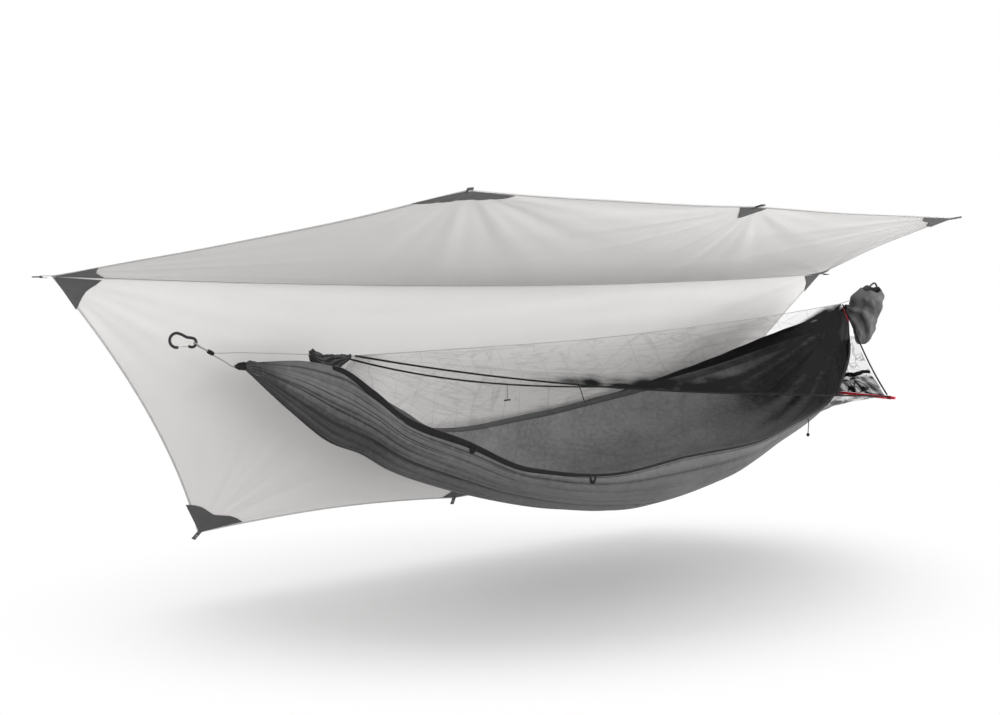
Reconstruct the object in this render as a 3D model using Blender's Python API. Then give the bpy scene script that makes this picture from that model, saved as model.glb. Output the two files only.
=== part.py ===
"""Hammock tent: a gathered-end hammock with a bug net, under a six-sided tarp.

Metres, +Z up. The origin is where the foot carabiner hangs on its line, +X runs
to the head end and -Y is the side that people get in from.
"""

from math import cos, pi, radians, sin

import bmesh
import bpy
import numpy as np
from mathutils import Matrix, Vector

# Lengths that place the hammock
HANG_SPAN = 3.17
HANG_RISE = 0.095
GATHER_REACH = 0.21
GATHER_DROP = 0.075

# Cloth hull: largest half widths and drops below the line between the gathers
NEAR_WIDTH = 0.405
FAR_WIDTH = 0.365
NEAR_DROP = 0.42
FAR_DROP = 0.334
HULL_DEPTH = 0.624
FOLD_DEPTH = 0.006
FOLD_REACH = 0.30
STUB_LENGTH = 0.019

# Thickness of each cloth
HULL_CLOTH = 0.0012
NET_CLOTH = 0.0008
BAND_CLOTH = 0.0016
TARP_CLOTH = 0.0010
PATCH_CLOTH = 0.0010
WEBBING = 0.0015

# Room between pieces
CLEAR = 0.0003
SEWN_GAP = 0.0006
HEM_GAP = 0.0028

# Net canopy
RIDGE_RADIUS = 0.0011
RIDGE_SAG = 0.073
NET_START = 0.56
APEX_REACH = 0.238
SEAM_RADIUS = 0.003
SEAM_START_X = 0.55
SEAM_START_Y = 0.025
NEAR_SEAM_TOP = 0.071
FAR_SEAM_TOP = 0.081
NEAR_SEAM_SAG = 0.037
FAR_SEAM_SAG = 0.061
NEAR_SEAM_BULGE = 0.04
FAR_SEAM_BULGE = 0.12
CORNER_X = 2.762
CORNER_Y = 0.34
CORNER_Z = 0.318
BAND_WIDTH = 0.025
BINDING_SETBACK = 0.008
SLACK_BAND_WIDTH = 0.012
SLACK_BAND_LIFT = 0.0024
MARKER_WIDTH = 0.010
MARKER_LIFT = 0.0009

# Spreader rod and its pockets
ROD_RADIUS = 0.0055
ROD_LENGTH = 0.73
ROD_OFFSET_X = 0.0100
ROD_OFFSET_Z = 0.0057
POCKET_RADIUS = 0.008
POCKET_LENGTH = 0.024
POCKET_REACH = 0.340
PANEL_REACH = 0.318
FLOOR_REACH = 0.300

# Suspension
CARABINER_LENGTH = 0.082
CARABINER_RADIUS = 0.0039
BIG_BOW = 0.019
SMALL_BOW = 0.012
CARABINER_TILT = 19.6
NOSE_TURN = 30.0
HINGE_SETBACK = 0.006
GATE_WIRE = 0.0010
LOOP_RADIUS = 0.002
SLEEVE_LENGTH = 0.020
SLEEVE_RADIUS = 0.006
SLEEVE_REACH = 0.101
SLEEVE_DROP = 0.037
SLEEVE_EDGE = 0.0012
RIDGE_OFFSET = 0.003
CAP_RADIUS = 0.0128
CAP_BORE = 0.0106
CAP_MOUTH = 0.0045
CAP_NOSE = 0.010

# Net gathered on the ridgeline at the foot end
BUNCH_START = 0.415
BUNCH_LENGTH = 0.135
BUNCH_RADIUS = 0.019
BUNCH_DROP = 0.012

# Webbing loops under the near hem
LOOP_WIDTH = 0.026
LOOP_HEIGHT = 0.028
LOOP_STRAP = 0.009
LOOP_LIFT = 0.0012

# Roll-up ties and the head tie
TIE_RADIUS = 0.0015
TOGGLE_RADIUS = 0.0032
TOGGLE_LENGTH = 0.028
KNOT_RADIUS = 0.006
KNOT_LENGTH = 0.014

# Zip slider on the far band
SLIDER_LENGTH = 0.014
SLIDER_HEIGHT = 0.007
SLIDER_THICKNESS = 0.003
SLIDER_DROP = 0.0095
SLIDER_LIFT = 0.0024
PULL_LENGTH = 0.026
PULL_WIDTH = 0.005
PULL_THICKNESS = 0.0016

# Stuff sack at the head end
SACK_HEIGHT = 0.238
SACK_WIDTH = 0.0675
SACK_DEPTH = 0.044
SACK_X = 2.994
SACK_Y = 0.078
SACK_BOTTOM = 0.138
SACK_LEAN = 0.032
SACK_CLOTH = 0.0014
SACK_FOLD = 0.0035
DRAW_RADIUS = 0.0012
DRAW_X = 3.003
DRAW_Y = 0.0092
DRAW_REACH = 0.024
LOCK_RADIUS = 0.007
LOCK_LENGTH = 0.016
BUTTON_RADIUS = 0.0042
BUTTON_LENGTH = 0.006
BUTTON_STROKE = 0.003

# Tarp
TARP_X = 1.41
TARP_Y = 0.2
TARP_Z = 0.165
TARP_RIDGE = 3.3
TARP_SIDE = 2.05
TARP_PANEL = 1.0
TARP_TILT = 0.0085
RIDGE_CURVE = 0.038
NEAR_PANEL_SAG = 0.05
FAR_PANEL_SAG = 0.03
END_SCALLOP = 0.053
SIDE_SCALLOP = 0.02
NEAR_PITCH = 11.6
FAR_PITCH = 63.25
FAR_TWIST = 3.25
TAPE_WIDTH = 0.012
TAPE_CLOTH = 0.0012
PANEL_GAP = 0.0008
PATCH_LIFT = 0.00195
PATCH_EDGE = 0.002
RIDGE_PATCH = 0.13
CORNER_PATCH = 0.135
SIDE_PATCH = 0.075
PATCH_ROOT = 0.012
PATCH_MARGIN = 3.0
TAB_WIDTH = 0.014
TAB_LENGTH = 0.034
EYELET = 0.004
RING_WIRE = 0.0016
RING_WIDTH = 0.020
RING_REACH = 0.022
STRAP_LENGTH = 0.028

# Shares of the length between the gathers, and the hull's shares there
KNOT_SHARES = (0, .05, .10, .135, .17, .23, .30, .40, .50, .60, .70, .80, .87, .93, .97, 1)
NEAR_WIDTH_SHARES = (.0054, .035, .114, .185, .257, .42, .60, .82, .956, 1, .906, .726, .556, .39, .19, .0054)
FAR_WIDTH_SHARES = (.006, .044, .137, .219, .296, .466, .663, .89, 1, .945, .836, .608, .438, .28, .12, .006)
NEAR_DROP_SHARES = (0, .012, .083, .257, .464, .657, .898, 1, .94, .929, .86, .798, .69, .46, .25, 0)
FAR_DROP_SHARES = (0, .024, .114, .27, .401, .653, .928, 1, .988, .907, .802, .644, .50, .37, .24, 0)
HULL_DEPTH_SHARES = (.029, .224, .401, .471, .569, .689, .806, .93, 1, .962, .825, .713, .601, .412, .223, .029)
OPENING_SHARES = (0, .05, .12, .25, .75, .88, .95, .98, 1)
OPENING_ANGLES = (165, 150, 118, 96, 96, 99, 100, 112, 165)
TIP_SHARES = (0, .012, .03, .05, .075)
HEAD_SHARES = (.868, .917, .965, .983, .993, 1)
WALL_START_SHARE = 0.105
WALL_END_SHARE = 0.82
PANEL_ROW_SHARE = 0.965
BAND_KNOT_SHARES = (.105, .13, .3, .5, .75, .9, .965)
BAND_WIDTH_SHARES = (.48, 1, .64, .4, .36, .32, .24)
NEAR_SEAM_SKEW_SHARE = -0.91
FAR_SEAM_SKEW_SHARE = -0.69
ROOF_HOLLOW_SHARE = 0.06
PATCH_HOLLOW_SHARE = 0.18
CORNER_HOLLOW_SHARE = 0.5
RIDGE_X_SHARES = (.038, .130, .1726, .3066, .4315, .7211, .8883, .9249, .962)
RIDGE_Z_SHARES = (-.56, -.85, -1, -.96, -.90, -.315, .233, .384, .78)
HEM_LOOP_SHARES = (.239, .371)
BUNCH_SHARES = (0, .06, .2, .38, .55, .72, .88, 1)
BUNCH_SIZE_SHARES = (.38, .62, .95, .82, 1, .9, .66, .36)
BIG_LUMP_SHARE = 0.16
SMALL_LUMP_SHARE = 0.08
SACK_SHARES = (0, .04, .15, .4, .65, .85, 1)
SACK_SIZE_SHARES = (.30, .48, .68, .88, .989, .995, .72)

# Counts
WALL_CELLS = 15
FAR_WALL_CELLS = 12
ZIP_CELL = 9
HULL_COLUMNS = 20
FOLDS = 5
TARP_COLUMNS = 25
TARP_ROWS = 11
FINE = 161
SHARE_STEPS = 200

# Routes of the free cords
NEAR_TIE_ROUTE = ((1.2948, -.1701, -.1937), (1.293, -.184, -.206), (1.291, -.196, -.2265), (1.290, -.208, -.2465))
FAR_TIE_ROUTE = ((1.339, .2450, -.2298), (1.339, .2432, -.245), (1.338, .2425, -.262), (1.338, .242, -.2785))
HEAD_TIE_ROUTE = ((2.268, -.3338, -.3665), (2.268, -.3388, -.3675), (2.269, -.3395, -.375), (2.270, -.338, -.395),
                  (2.270, -.337, -.416))


COLORS = {
    "hull": ((.115, .115, .12), .75, 0.0),
    "net": ((.10, .10, .105), .8, 0.0),
    "black": ((.012, .012, .013), .7, 0.0),
    "cord": ((.25, .25, .25), .7, 0.0),
    "metal": ((.02, .02, .022), .35, .8),
    "wire": ((.75, .76, .78), .3, 1.0),
    "red": ((.60, .01, .03), .35, 0.0),
    "tape": ((.55, .02, .04), .7, 0.0),
    "plastic": ((.02, .02, .02), .4, 0.0),
    "sack": ((.12, .12, .125), .75, 0.0),
    "tarp": ((.66, .65, .64), .7, 0.0),
    "patch": ((.10, .10, .10), .75, 0.0),
    "webbing": ((.09, .09, .09), .8, 0.0),
}


def clear_scene():
    for old in list(bpy.data.objects):
        bpy.data.objects.remove(old, do_unlink=True)


def material(name, look):
    """Give each piece its own material from a named look."""
    color, roughness, metallic = COLORS[look]
    made = bpy.data.materials.new(name)
    made.use_nodes = True
    shader = made.node_tree.nodes["Principled BSDF"]
    shader.inputs["Base Color"].default_value = (*color, 1.0)
    shader.inputs["Roughness"].default_value = roughness
    shader.inputs["Metallic"].default_value = metallic
    made.diffuse_color = (*color, 1.0)
    return made


def finish(mesh_or_curve, name, look):
    """Link a new object with its own material."""
    made = bpy.data.objects.new(name, mesh_or_curve)
    made.data.materials.append(material(name, look))
    bpy.context.scene.collection.objects.link(made)
    return made


def mesh_object(name, verts, faces, look):
    mesh = bpy.data.meshes.new(name)
    mesh.from_pydata([tuple(v) for v in verts], [], faces)
    work = bmesh.new()
    work.from_mesh(mesh)
    bmesh.ops.recalc_face_normals(work, faces=work.faces)
    work.to_mesh(mesh)
    work.free()
    mesh.shade_smooth()
    mesh.set_sharp_from_angle(angle=radians(40))
    return finish(mesh, name, look)


def sheet(name, rows, thickness, look, holes=()):
    """Cloth: a grid of points given its thickness to both sides."""
    rows = np.asarray(rows)
    count, width = rows.shape[:2]
    faces = []
    for i in range(count - 1):
        for j in range(width - 1):
            if (i, j) not in holes:
                corner = i * width + j
                faces.append((corner, corner + 1, corner + width + 1, corner + width))
    made = mesh_object(name, rows.reshape(-1, 3), faces, look)
    solid = made.modifiers.new("Cloth", "SOLIDIFY")
    solid.thickness = thickness
    solid.offset = 0.0
    return made


def tube(name, points, radius, look, closed=False):
    """Cord or piping: a round bevel along points."""
    curve_data = bpy.data.curves.new(name, "CURVE")
    curve_data.dimensions = "3D"
    line = curve_data.splines.new("POLY")
    line.points.add(len(points) - 1)
    for slot, point in zip(line.points, points):
        slot.co = (*point, 1.0)
    line.use_cyclic_u = closed
    line.use_smooth = True
    curve_data.bevel_depth = radius
    curve_data.bevel_resolution = 2
    curve_data.use_fill_caps = not closed
    return finish(curve_data, name, look)


def turned(name, profile, origin, direction, look, sides=16):
    """Turn a closed outline of (along, radius) about a line."""
    work = bmesh.new()
    ring = [work.verts.new((radius, 0.0, along)) for along, radius in profile]
    pairs = zip(ring, ring[1:] + ring[:1])
    edges = [work.edges.new(pair) for pair in pairs if pair[0].co.x + pair[1].co.x > 0]
    bmesh.ops.spin(work, geom=ring + edges, axis=(0, 0, 1), cent=(0, 0, 0), angle=2 * pi,
                   steps=sides, use_merge=True)
    bmesh.ops.remove_doubles(work, verts=work.verts, dist=CLEAR / 100)
    bmesh.ops.recalc_face_normals(work, faces=work.faces)
    mesh = bpy.data.meshes.new(name)
    work.to_mesh(mesh)
    work.free()
    mesh.shade_smooth()
    mesh.set_sharp_from_angle(angle=radians(40))
    made = finish(mesh, name, look)
    made.rotation_mode = "QUATERNION"
    made.rotation_quaternion = Vector((0, 0, 1)).rotation_difference(Vector(direction))
    made.location = origin
    return made


def lofted(name, rings, look):
    """Join equal rings of points into a body with flat ends."""
    rings = [np.asarray(r) for r in rings]
    around = len(rings[0])
    verts = np.concatenate(rings)
    faces = []
    for i in range(len(rings) - 1):
        for j in range(around):
            k = (j + 1) % around
            faces.append((i * around + j, i * around + k, (i + 1) * around + k, (i + 1) * around + j))
    faces.append(tuple(range(around)))
    last = (len(rings) - 1) * around
    faces.append(tuple(range(last, last + around)))
    return mesh_object(name, verts, faces, look)


def hollow(name, rings, look):
    """Join rings that run along the outside and back through a bore."""
    around = len(rings[0])
    total = len(rings)
    faces = []
    for i in range(total):
        for j in range(around):
            k = (j + 1) % around
            m = (i + 1) % total
            faces.append((i * around + j, i * around + k, m * around + k, m * around + j))
    return mesh_object(name, np.concatenate(rings), faces, look)


def bent_rod(name, points, radius, look, sides=12):
    """Rod bent in the plane y = 0."""
    points = np.asarray(points)
    ahead = unit(np.gradient(points, axis=0))
    rings = []
    for point, direction in zip(points, ahead):
        up = np.array((-direction[2], 0.0, direction[0]))
        ring = []
        for j in range(sides):
            a = 2 * pi * j / sides
            ring.append(point + radius * (cos(a) * np.array((0.0, 1.0, 0.0)) + sin(a) * up))
        rings.append(ring)
    return lofted(name, rings, look)


def frame(origin, x_axis, y_axis, z_axis):
    turn = Matrix((x_axis, y_axis, z_axis)).transposed()
    return Matrix.Translation(origin) @ turn.to_4x4()


def unit(v):
    v = np.asarray(v, float)
    return v / np.linalg.norm(v, axis=-1, keepdims=True)


def mix(a, b, share):
    return np.asarray(a) * (1 - share) + np.asarray(b) * share


def curve(knots, values, x):
    """Monotone cubic through a table of values."""
    knots = np.asarray(knots, float)
    values = np.asarray(values, float)
    x = np.clip(np.asarray(x, float), knots[0], knots[-1])
    step = np.diff(knots)
    slope = np.diff(values) / step
    tangent = np.zeros_like(values)
    tangent[0] = slope[0]
    tangent[-1] = slope[-1]
    for i in range(1, len(values) - 1):
        if slope[i - 1] * slope[i] > 0:
            left = 2 * step[i] + step[i - 1]
            right = step[i] + 2 * step[i - 1]
            tangent[i] = (left + right) / (left / slope[i - 1] + right / slope[i])
    i = np.clip(np.searchsorted(knots, x, side="right") - 1, 0, len(step) - 1)
    t = (x - knots[i]) / step[i]
    rise = (1 + 2 * t) * (1 - t) ** 2 * values[i] + t * t * (3 - 2 * t) * values[i + 1]
    return rise + step[i] * (t * (1 - t) ** 2 * tangent[i] + t * t * (t - 1) * tangent[i + 1])


def at_head(point):
    """The head end's point that mirrors a point of the foot end."""
    x, y, z = point
    return (HANG_SPAN - x, y, z + HANG_RISE)


# Hull of the hammock

FOOT = np.array((GATHER_REACH, 0.0, -GATHER_DROP))
HEAD = np.array(at_head(FOOT))
SPAN = HEAD[0] - FOOT[0]


def chord(s):
    """Height of the line between the gathers at share s."""
    return mix(FOOT[2], HEAD[2], np.clip(s, 0, 1))


def fold(s):
    """How deep the long folds are at share s: deep near each gather."""
    reach = FOLD_REACH / SPAN
    foot = np.clip(s, 0, 1) / reach
    head = (1 - np.clip(s, 0, 1)) / reach
    return FOLD_DEPTH * (foot * np.exp(1 - foot) + head * np.exp(1 - head))


def section(s):
    """Cross-section at share s, from the near hem under to the far hem."""
    near = NEAR_WIDTH * curve(KNOT_SHARES, NEAR_WIDTH_SHARES, s)
    far = FAR_WIDTH * curve(KNOT_SHARES, FAR_WIDTH_SHARES, s)
    near_z = chord(s) - NEAR_DROP * curve(KNOT_SHARES, NEAR_DROP_SHARES, s)
    far_z = chord(s) - FAR_DROP * curve(KNOT_SHARES, FAR_DROP_SHARES, s)
    low = chord(s) - HULL_DEPTH * curve(KNOT_SHARES, HULL_DEPTH_SHARES, s)
    opening = radians(float(curve(OPENING_SHARES, OPENING_ANGLES, s)))
    u = np.linspace(-1, 1, FINE)
    turn = opening * u
    lift = (1 - np.cos(turn)) / (1 - cos(opening))
    y = (far - near) / 2 * lift + (near + far) / 2 * np.sin(turn) / sin(opening)
    hem = near_z * (1 - u) / 2 + far_z * (1 + u) / 2
    z = low + (hem - low) * lift
    out = unit(np.stack([np.gradient(z), -np.gradient(y)], -1))
    wave = fold(s) * np.sin(FOLDS * pi * (u + 1) / 2) * (1 - u ** 4)
    x = np.full(FINE, FOOT[0] + s * SPAN)
    return np.stack([x, y + wave * out[:, 0], z + wave * out[:, 1]], -1)


def lengths(points):
    steps = np.linalg.norm(np.diff(points, axis=0), axis=1)
    return np.concatenate([[0.0], np.cumsum(steps)])


def along(points, start, stop, count):
    """Points evenly spaced along a line of points, between two lengths."""
    run = lengths(points)
    where = np.linspace(start, stop, count)
    return np.stack([np.interp(where, run, points[:, k]) for k in range(3)], -1)


def outward(s, points):
    """Outward direction of the hull at points on its section at share s."""
    line = section(s)
    out = unit(np.stack([np.zeros(FINE), np.gradient(line[:, 2]), -np.gradient(line[:, 1])], -1))
    nearest = [int(np.argmin(((line - p) ** 2).sum(1))) for p in np.atleast_2d(points)]
    return out[nearest]


def hem(side, s):
    return section(s)[0 if side < 0 else -1]


def band_down(side, s):
    """Direction from the hem down along the hull's cloth."""
    line = section(s)[::-side]
    return unit(line[2] - line[0])


def band_width(s):
    return BAND_WIDTH * float(curve(BAND_KNOT_SHARES, BAND_WIDTH_SHARES, s))


WALL_STATIONS = tuple(np.linspace(WALL_START_SHARE, WALL_END_SHARE, WALL_CELLS + 1))
BAND_STATIONS = WALL_STATIONS + tuple(s for s in HEAD_SHARES if s <= PANEL_ROW_SHARE)


def hull_row(s, count=HULL_COLUMNS + 1):
    """The hull's own cloth at share s, between the zip bands where they run."""
    line = section(s)
    total = lengths(line)[-1]
    cut = band_width(s) + SEWN_GAP if BAND_STATIONS[0] <= s <= BAND_STATIONS[-1] else 0.0
    return along(line, cut, total - cut, count)


def make_hull():
    stub = STUB_LENGTH / SPAN
    stations = (-stub,) + TIP_SHARES + WALL_STATIONS + HEAD_SHARES + (1 + stub,)
    sheet("hammock_body", [hull_row(s) for s in stations], HULL_CLOTH, "hull")


def make_zip_bands():
    for side, name in ((-1, "near_zip_band"), (1, "far_zip_band")):
        rows = []
        for s in BAND_STATIONS:
            line = section(s)[::-side]
            rows.append(along(line, 0.0, band_width(s), 2))
        sheet(name, rows, BAND_CLOTH, "black")


# Net canopy

CORNER_SPOT = (CORNER_X, CORNER_Y, -CORNER_Z)
ROD_X = CORNER_X + ROD_OFFSET_X
ROD_Z = -CORNER_Z - ROD_OFFSET_Z


def ridge(x):
    """Ridgeline point at a given x."""
    places = [HANG_SPAN * share for share in RIDGE_X_SHARES]
    heights = [RIDGE_SAG * share for share in RIDGE_Z_SHARES]
    return np.array((x, 0.0, float(curve(places, heights, x))))


def ridge_at(t):
    return ridge(mix(NET_START, HANG_SPAN - APEX_REACH, t))


def seam(side, t):
    """Side seam of the net, from the foot bunch to the rod's corner."""
    near = side < 0
    bulge = NEAR_SEAM_BULGE if near else FAR_SEAM_BULGE
    sag = NEAR_SEAM_SAG if near else FAR_SEAM_SAG
    skew = NEAR_SEAM_SKEW_SHARE if near else FAR_SEAM_SKEW_SHARE
    top = NEAR_SEAM_TOP if near else FAR_SEAM_TOP
    arch = 4 * t * (1 - t)
    y = mix(SEAM_START_Y, CORNER_Y, t) + bulge * arch
    z = -mix(top, CORNER_Z, t) - sag * arch * (1 + skew * (t - 0.5))
    return np.array((mix(SEAM_START_X, CORNER_X, t), side * y, z))


def square_to(direction, line):
    """The part of a direction that is square to a line's direction."""
    line = unit(line)
    return unit(direction - line * np.dot(direction, line))


def seam_shares(side):
    """Shares along a seam where the nets and the piping have their points."""
    return np.linspace(0, 1, (WALL_CELLS if side < 0 else FAR_WALL_CELLS) + 1)


def seam_run(side, t):
    step = 1 / WALL_CELLS / 2
    return seam(side, t + step) - seam(side, t - step)


def roof_point(side, t, v):
    """Net roof between ridgeline (v = 0) and seam (v = 1), hollow at the head end."""
    top = ridge_at(t)
    low = seam(side, t)
    down = low - top
    start = top + square_to(down, np.array((1, 0, 0))) * (RIDGE_RADIUS + SEWN_GAP)
    stop = low - square_to(down, seam_run(side, t)) * (SEAM_RADIUS + SEWN_GAP)
    point = mix(start, stop, v)
    point[1] *= 1 - ROOF_HOLLOW_SHARE * sin(pi * v) * t ** 4
    return point


def edge_point(side, v):
    """Head-end edge of the net, from the apex (v = 0) to the rod's corner."""
    point = mix(ridge_at(1.0), seam(side, 1.0), v)
    point[1] *= 1 - ROOF_HOLLOW_SHARE * sin(pi * v)
    return point


def make_roofs():
    edge_room = (SEAM_RADIUS + SEWN_GAP * 2) / (CORNER_X - SEAM_START_X)
    for side, name in ((-1, "net_roof_near"), (1, "net_roof_far")):
        rows = []
        for t in np.minimum(seam_shares(side), 1 - edge_room):
            rows.append([roof_point(side, t, v) for v in np.linspace(0, 1, 5)])
        sheet(name, rows, NET_CLOTH, "net")


def make_walls():
    """Net between each side seam and its hem; the far one leaves the hem earlier."""
    for side, name in ((-1, "net_wall_near"), (1, "net_wall_far")):
        rows = []
        for t, s in zip(seam_shares(side), WALL_STATIONS):
            top = seam(side, t)
            low = hem(side, s)
            start = top + square_to(low - top, seam_run(side, t)) * (SEAM_RADIUS + SEWN_GAP)
            up = square_to(top - low, hem(side, s + 1 / SHARE_STEPS) - hem(side, s - 1 / SHARE_STEPS))
            out = outward(s, low)[0]
            below = max(0.0, np.dot(up, band_down(side, s)))
            stop = low + unit(up + out * 2 * below) * HEM_GAP
            rows.append([mix(start, stop, v) for v in np.linspace(0, 1, 5)])
        sheet(name, rows, NET_CLOTH, "net")


def make_seams():
    for side, name in ((-1, "near_seam"), (1, "far_seam")):
        points = [seam(side, t) for t in seam_shares(side)]
        tube(name, points, SEAM_RADIUS, "black")


def make_edge_bindings():
    for side, name in ((-1, "near_edge_binding"), (1, "far_edge_binding")):
        length = np.linalg.norm(edge_point(side, 1) - edge_point(side, 0))
        start = (SEAM_RADIUS * 2 + SEWN_GAP) / length
        stop = 1 - BINDING_SETBACK / length
        points = [edge_point(side, v) for v in np.linspace(start, stop, 10)]
        tube(name, points, SEAM_RADIUS, "black")


def hull_skirt(stations, lift):
    """Points just outside the hull, one on each of its columns, at given shares."""
    points = []
    for j, s in enumerate(stations):
        spot = hull_row(s)[j]
        points.append(spot + outward(s, spot)[0] * lift)
    return np.array(points)


def make_floor():
    """Net from the hull's underside to the rod, which closes the head end below."""
    count = HULL_COLUMNS + 1
    lift = HULL_CLOTH + NET_CLOTH
    turn = np.clip(np.linspace(-1, 1, count) * 2 - 0.5, 0, 1)
    top = hull_skirt(mix(WALL_END_SHARE, WALL_STATIONS[FAR_WALL_CELLS], turn), lift)
    rows = []
    reach = ROD_RADIUS + NET_CLOTH
    for v in np.linspace(0, 1, 5):
        ends = [(ROD_X - reach, y, ROD_Z) for y in np.linspace(-FLOOR_REACH, FLOOR_REACH, count)]
        rows.append(mix(top, ends, v))
    sheet("net_floor", rows, NET_CLOTH, "net")


def panel_top():
    """Upper line of the end panel: under the hull, and out to both bindings."""
    under = hull_skirt([PANEL_ROW_SHARE] * (HULL_COLUMNS + 1), HULL_CLOTH + NET_CLOTH)
    ends = []
    for side in (-1, 1):
        height = under[0 if side < 0 else -1][2]
        v = np.interp(-height, [-edge_point(side, w)[2] for w in (0, 1)], (0, 1))
        run = edge_point(side, 1) - edge_point(side, 0)
        inward = square_to(np.array((0, -side, 0)), run)
        ends.append(edge_point(side, v) + inward * (SEAM_RADIUS + SEWN_GAP * 2))
    return np.concatenate([ends[:1], under, ends[1:]])


def panel_point(top, w, v):
    """End panel at shares across (w) and down (v)."""
    count = len(top) - 1
    place = w * count
    i = min(int(place), count - 1)
    high = mix(top[i], top[i + 1], place - i)
    reach = ROD_RADIUS + NET_CLOTH
    tilt = unit((CORNER_X - ROD_X + APEX_REACH / 2, 0, CORNER_Z))
    low = np.array((ROD_X, mix(-PANEL_REACH, PANEL_REACH, w), ROD_Z)) + reach * tilt
    point = mix(high, low, v)
    point[1] *= 1 - ROOF_HOLLOW_SHARE * sin(pi * v)
    return point


def make_end_panel():
    top = panel_top()
    count = len(top)
    rows = []
    for v in np.linspace(0, 1, 5):
        rows.append([panel_point(top, w, v) for w in np.linspace(0, 1, count)])
    sheet("net_end_panel", rows, NET_CLOTH, "net")


def make_slack_band():
    """Slack tape hanging across the end panel."""
    top = panel_top()
    out = unit((CORNER_Z, 0, -(APEX_REACH - ROD_OFFSET_X) / 2)) * SLACK_BAND_LIFT
    length = CORNER_Z - GATHER_DROP
    rows = []
    for w in np.clip(np.linspace(0, 1, len(top)), 0.03, 0.97):
        v = 0.55 + 0.12 * sin(pi * w)
        half = SLACK_BAND_WIDTH / length / 2
        rows.append([panel_point(top, w, v - half) + out, panel_point(top, w, v + half) + out])
    sheet("end_band", rows, WEBBING, "black")


def make_marker():
    """Short coloured tape on the near roof, beside the apex."""
    run = CORNER_X - SEAM_START_X
    rows = []
    for v in np.linspace(0.04, 0.2, 4):
        row = [roof_point(-1, 1 - (SEAM_RADIUS * 2 + d) / run, v) for d in (0, MARKER_WIDTH)]
        rows.append(np.array(row) + np.array((0, -MARKER_LIFT, MARKER_LIFT)))
    sheet("head_marker", rows, PATCH_CLOTH, "tape")


def make_rod():
    edge = ROD_RADIUS / 4
    half = ROD_LENGTH / 2
    profile = ((-half, 0), (-half, ROD_RADIUS - edge), (-half + edge, ROD_RADIUS),
               (half - edge, ROD_RADIUS), (half, ROD_RADIUS - edge), (half, 0))
    turned("spreader_rod", profile, (ROD_X, 0, ROD_Z), (0, 1, 0), "red", 14)
    bore = ROD_RADIUS + CLEAR
    for side, name in ((-1, "rod_pocket_near"), (1, "rod_pocket_far")):
        half = POCKET_LENGTH / 2
        edge = (POCKET_RADIUS - bore) / 3
        profile = ((-half, bore), (-half, POCKET_RADIUS - edge), (-half + edge, POCKET_RADIUS),
                   (half - edge, POCKET_RADIUS), (half, POCKET_RADIUS - edge), (half, bore))
        place = (ROD_X, side * POCKET_REACH, ROD_Z)
        turned(name, profile, place, (0, 1, 0), "black", 14)


# Suspension at each end

TILT = radians(CARABINER_TILT)
ALONG = np.array((cos(TILT), 0.0, -sin(TILT)))
ACROSS = np.array((sin(TILT), 0.0, cos(TILT)))
SLEEVE_SPOT = np.array((SLEEVE_REACH, 0.0, -SLEEVE_DROP))


def clip_point(u, v):
    """A point of the foot carabiner's plane: u from its outer tip, v across."""
    return (u - 2 * CARABINER_RADIUS) * ALONG + v * ACROSS


BIG_U = CARABINER_RADIUS + BIG_BOW
SMALL_U = CARABINER_LENGTH - CARABINER_RADIUS - SMALL_BOW
SMALL_V = BIG_BOW - SMALL_BOW
NOSE_ANGLE = radians(-90 + NOSE_TURN)
NOSE = (BIG_U + BIG_BOW * cos(NOSE_ANGLE), BIG_BOW * sin(NOSE_ANGLE))
GATE_FOOT = (SMALL_U - HINGE_SETBACK, SMALL_V - SMALL_BOW)


def clip_path():
    """Rod centreline from the nose round the big bow, the spine and the small bow."""
    points = []
    for a in np.linspace(NOSE_ANGLE, NOSE_ANGLE - radians(240), 17):
        if a > -1.5 * pi:
            points.append((BIG_U + BIG_BOW * cos(a), BIG_BOW * sin(a)))
    points.append((BIG_U, BIG_BOW))
    points.append(((BIG_U + SMALL_U) / 2, BIG_BOW))
    for a in np.linspace(pi / 2, -pi / 2, 10):
        points.append((SMALL_U + SMALL_BOW * cos(a), SMALL_V + SMALL_BOW * sin(a)))
    points.append(GATE_FOOT)
    return points


def end_point(end, point):
    return np.array(point) if end == "foot" else np.array(at_head(point))


def end_direction(end, v):
    return np.array(v) if end == "foot" else np.array((-v[0], v[1], v[2]))


def make_carabiner(end):
    path = [end_point(end, clip_point(u, v)) for u, v in clip_path()]
    bent_rod(end + "_carabiner", path, CARABINER_RADIUS, "metal")


def make_gate(end):
    """Round-ended wire between the rod's two end faces; it turns about its foot."""
    room = GATE_WIRE + CLEAR
    facing = NOSE_ANGLE + pi / 2
    nose = end_point(end, clip_point(NOSE[0] + room * cos(facing), NOSE[1] + room * sin(facing)))
    foot = end_point(end, clip_point(GATE_FOOT[0] - room, GATE_FOOT[1]))
    half = np.linalg.norm(nose - foot) / 2
    tip = [(half + GATE_WIRE * cos(a), GATE_WIRE * sin(a)) for a in np.linspace(0, pi / 2, 4)]
    profile = tip + [(-reach, radius) for reach, radius in tip[::-1]]
    turned(end + "_gate", profile, (nose + foot) / 2, unit(nose - foot), "wire", 10)


def make_sleeve(end):
    pull = unit(clip_point(SMALL_U, SMALL_V) - SLEEVE_SPOT)
    half = SLEEVE_LENGTH / 2
    profile = ((-half, 0), (-half, SLEEVE_RADIUS - SLEEVE_EDGE), (-half + SLEEVE_EDGE, SLEEVE_RADIUS),
               (half - SLEEVE_EDGE, SLEEVE_RADIUS), (half, SLEEVE_RADIUS - SLEEVE_EDGE), (half, 0))
    middle = SLEEVE_SPOT - pull * half
    turned(end + "_sleeve", profile, end_point(end, middle), end_direction(end, pull), "black", 14)


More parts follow.
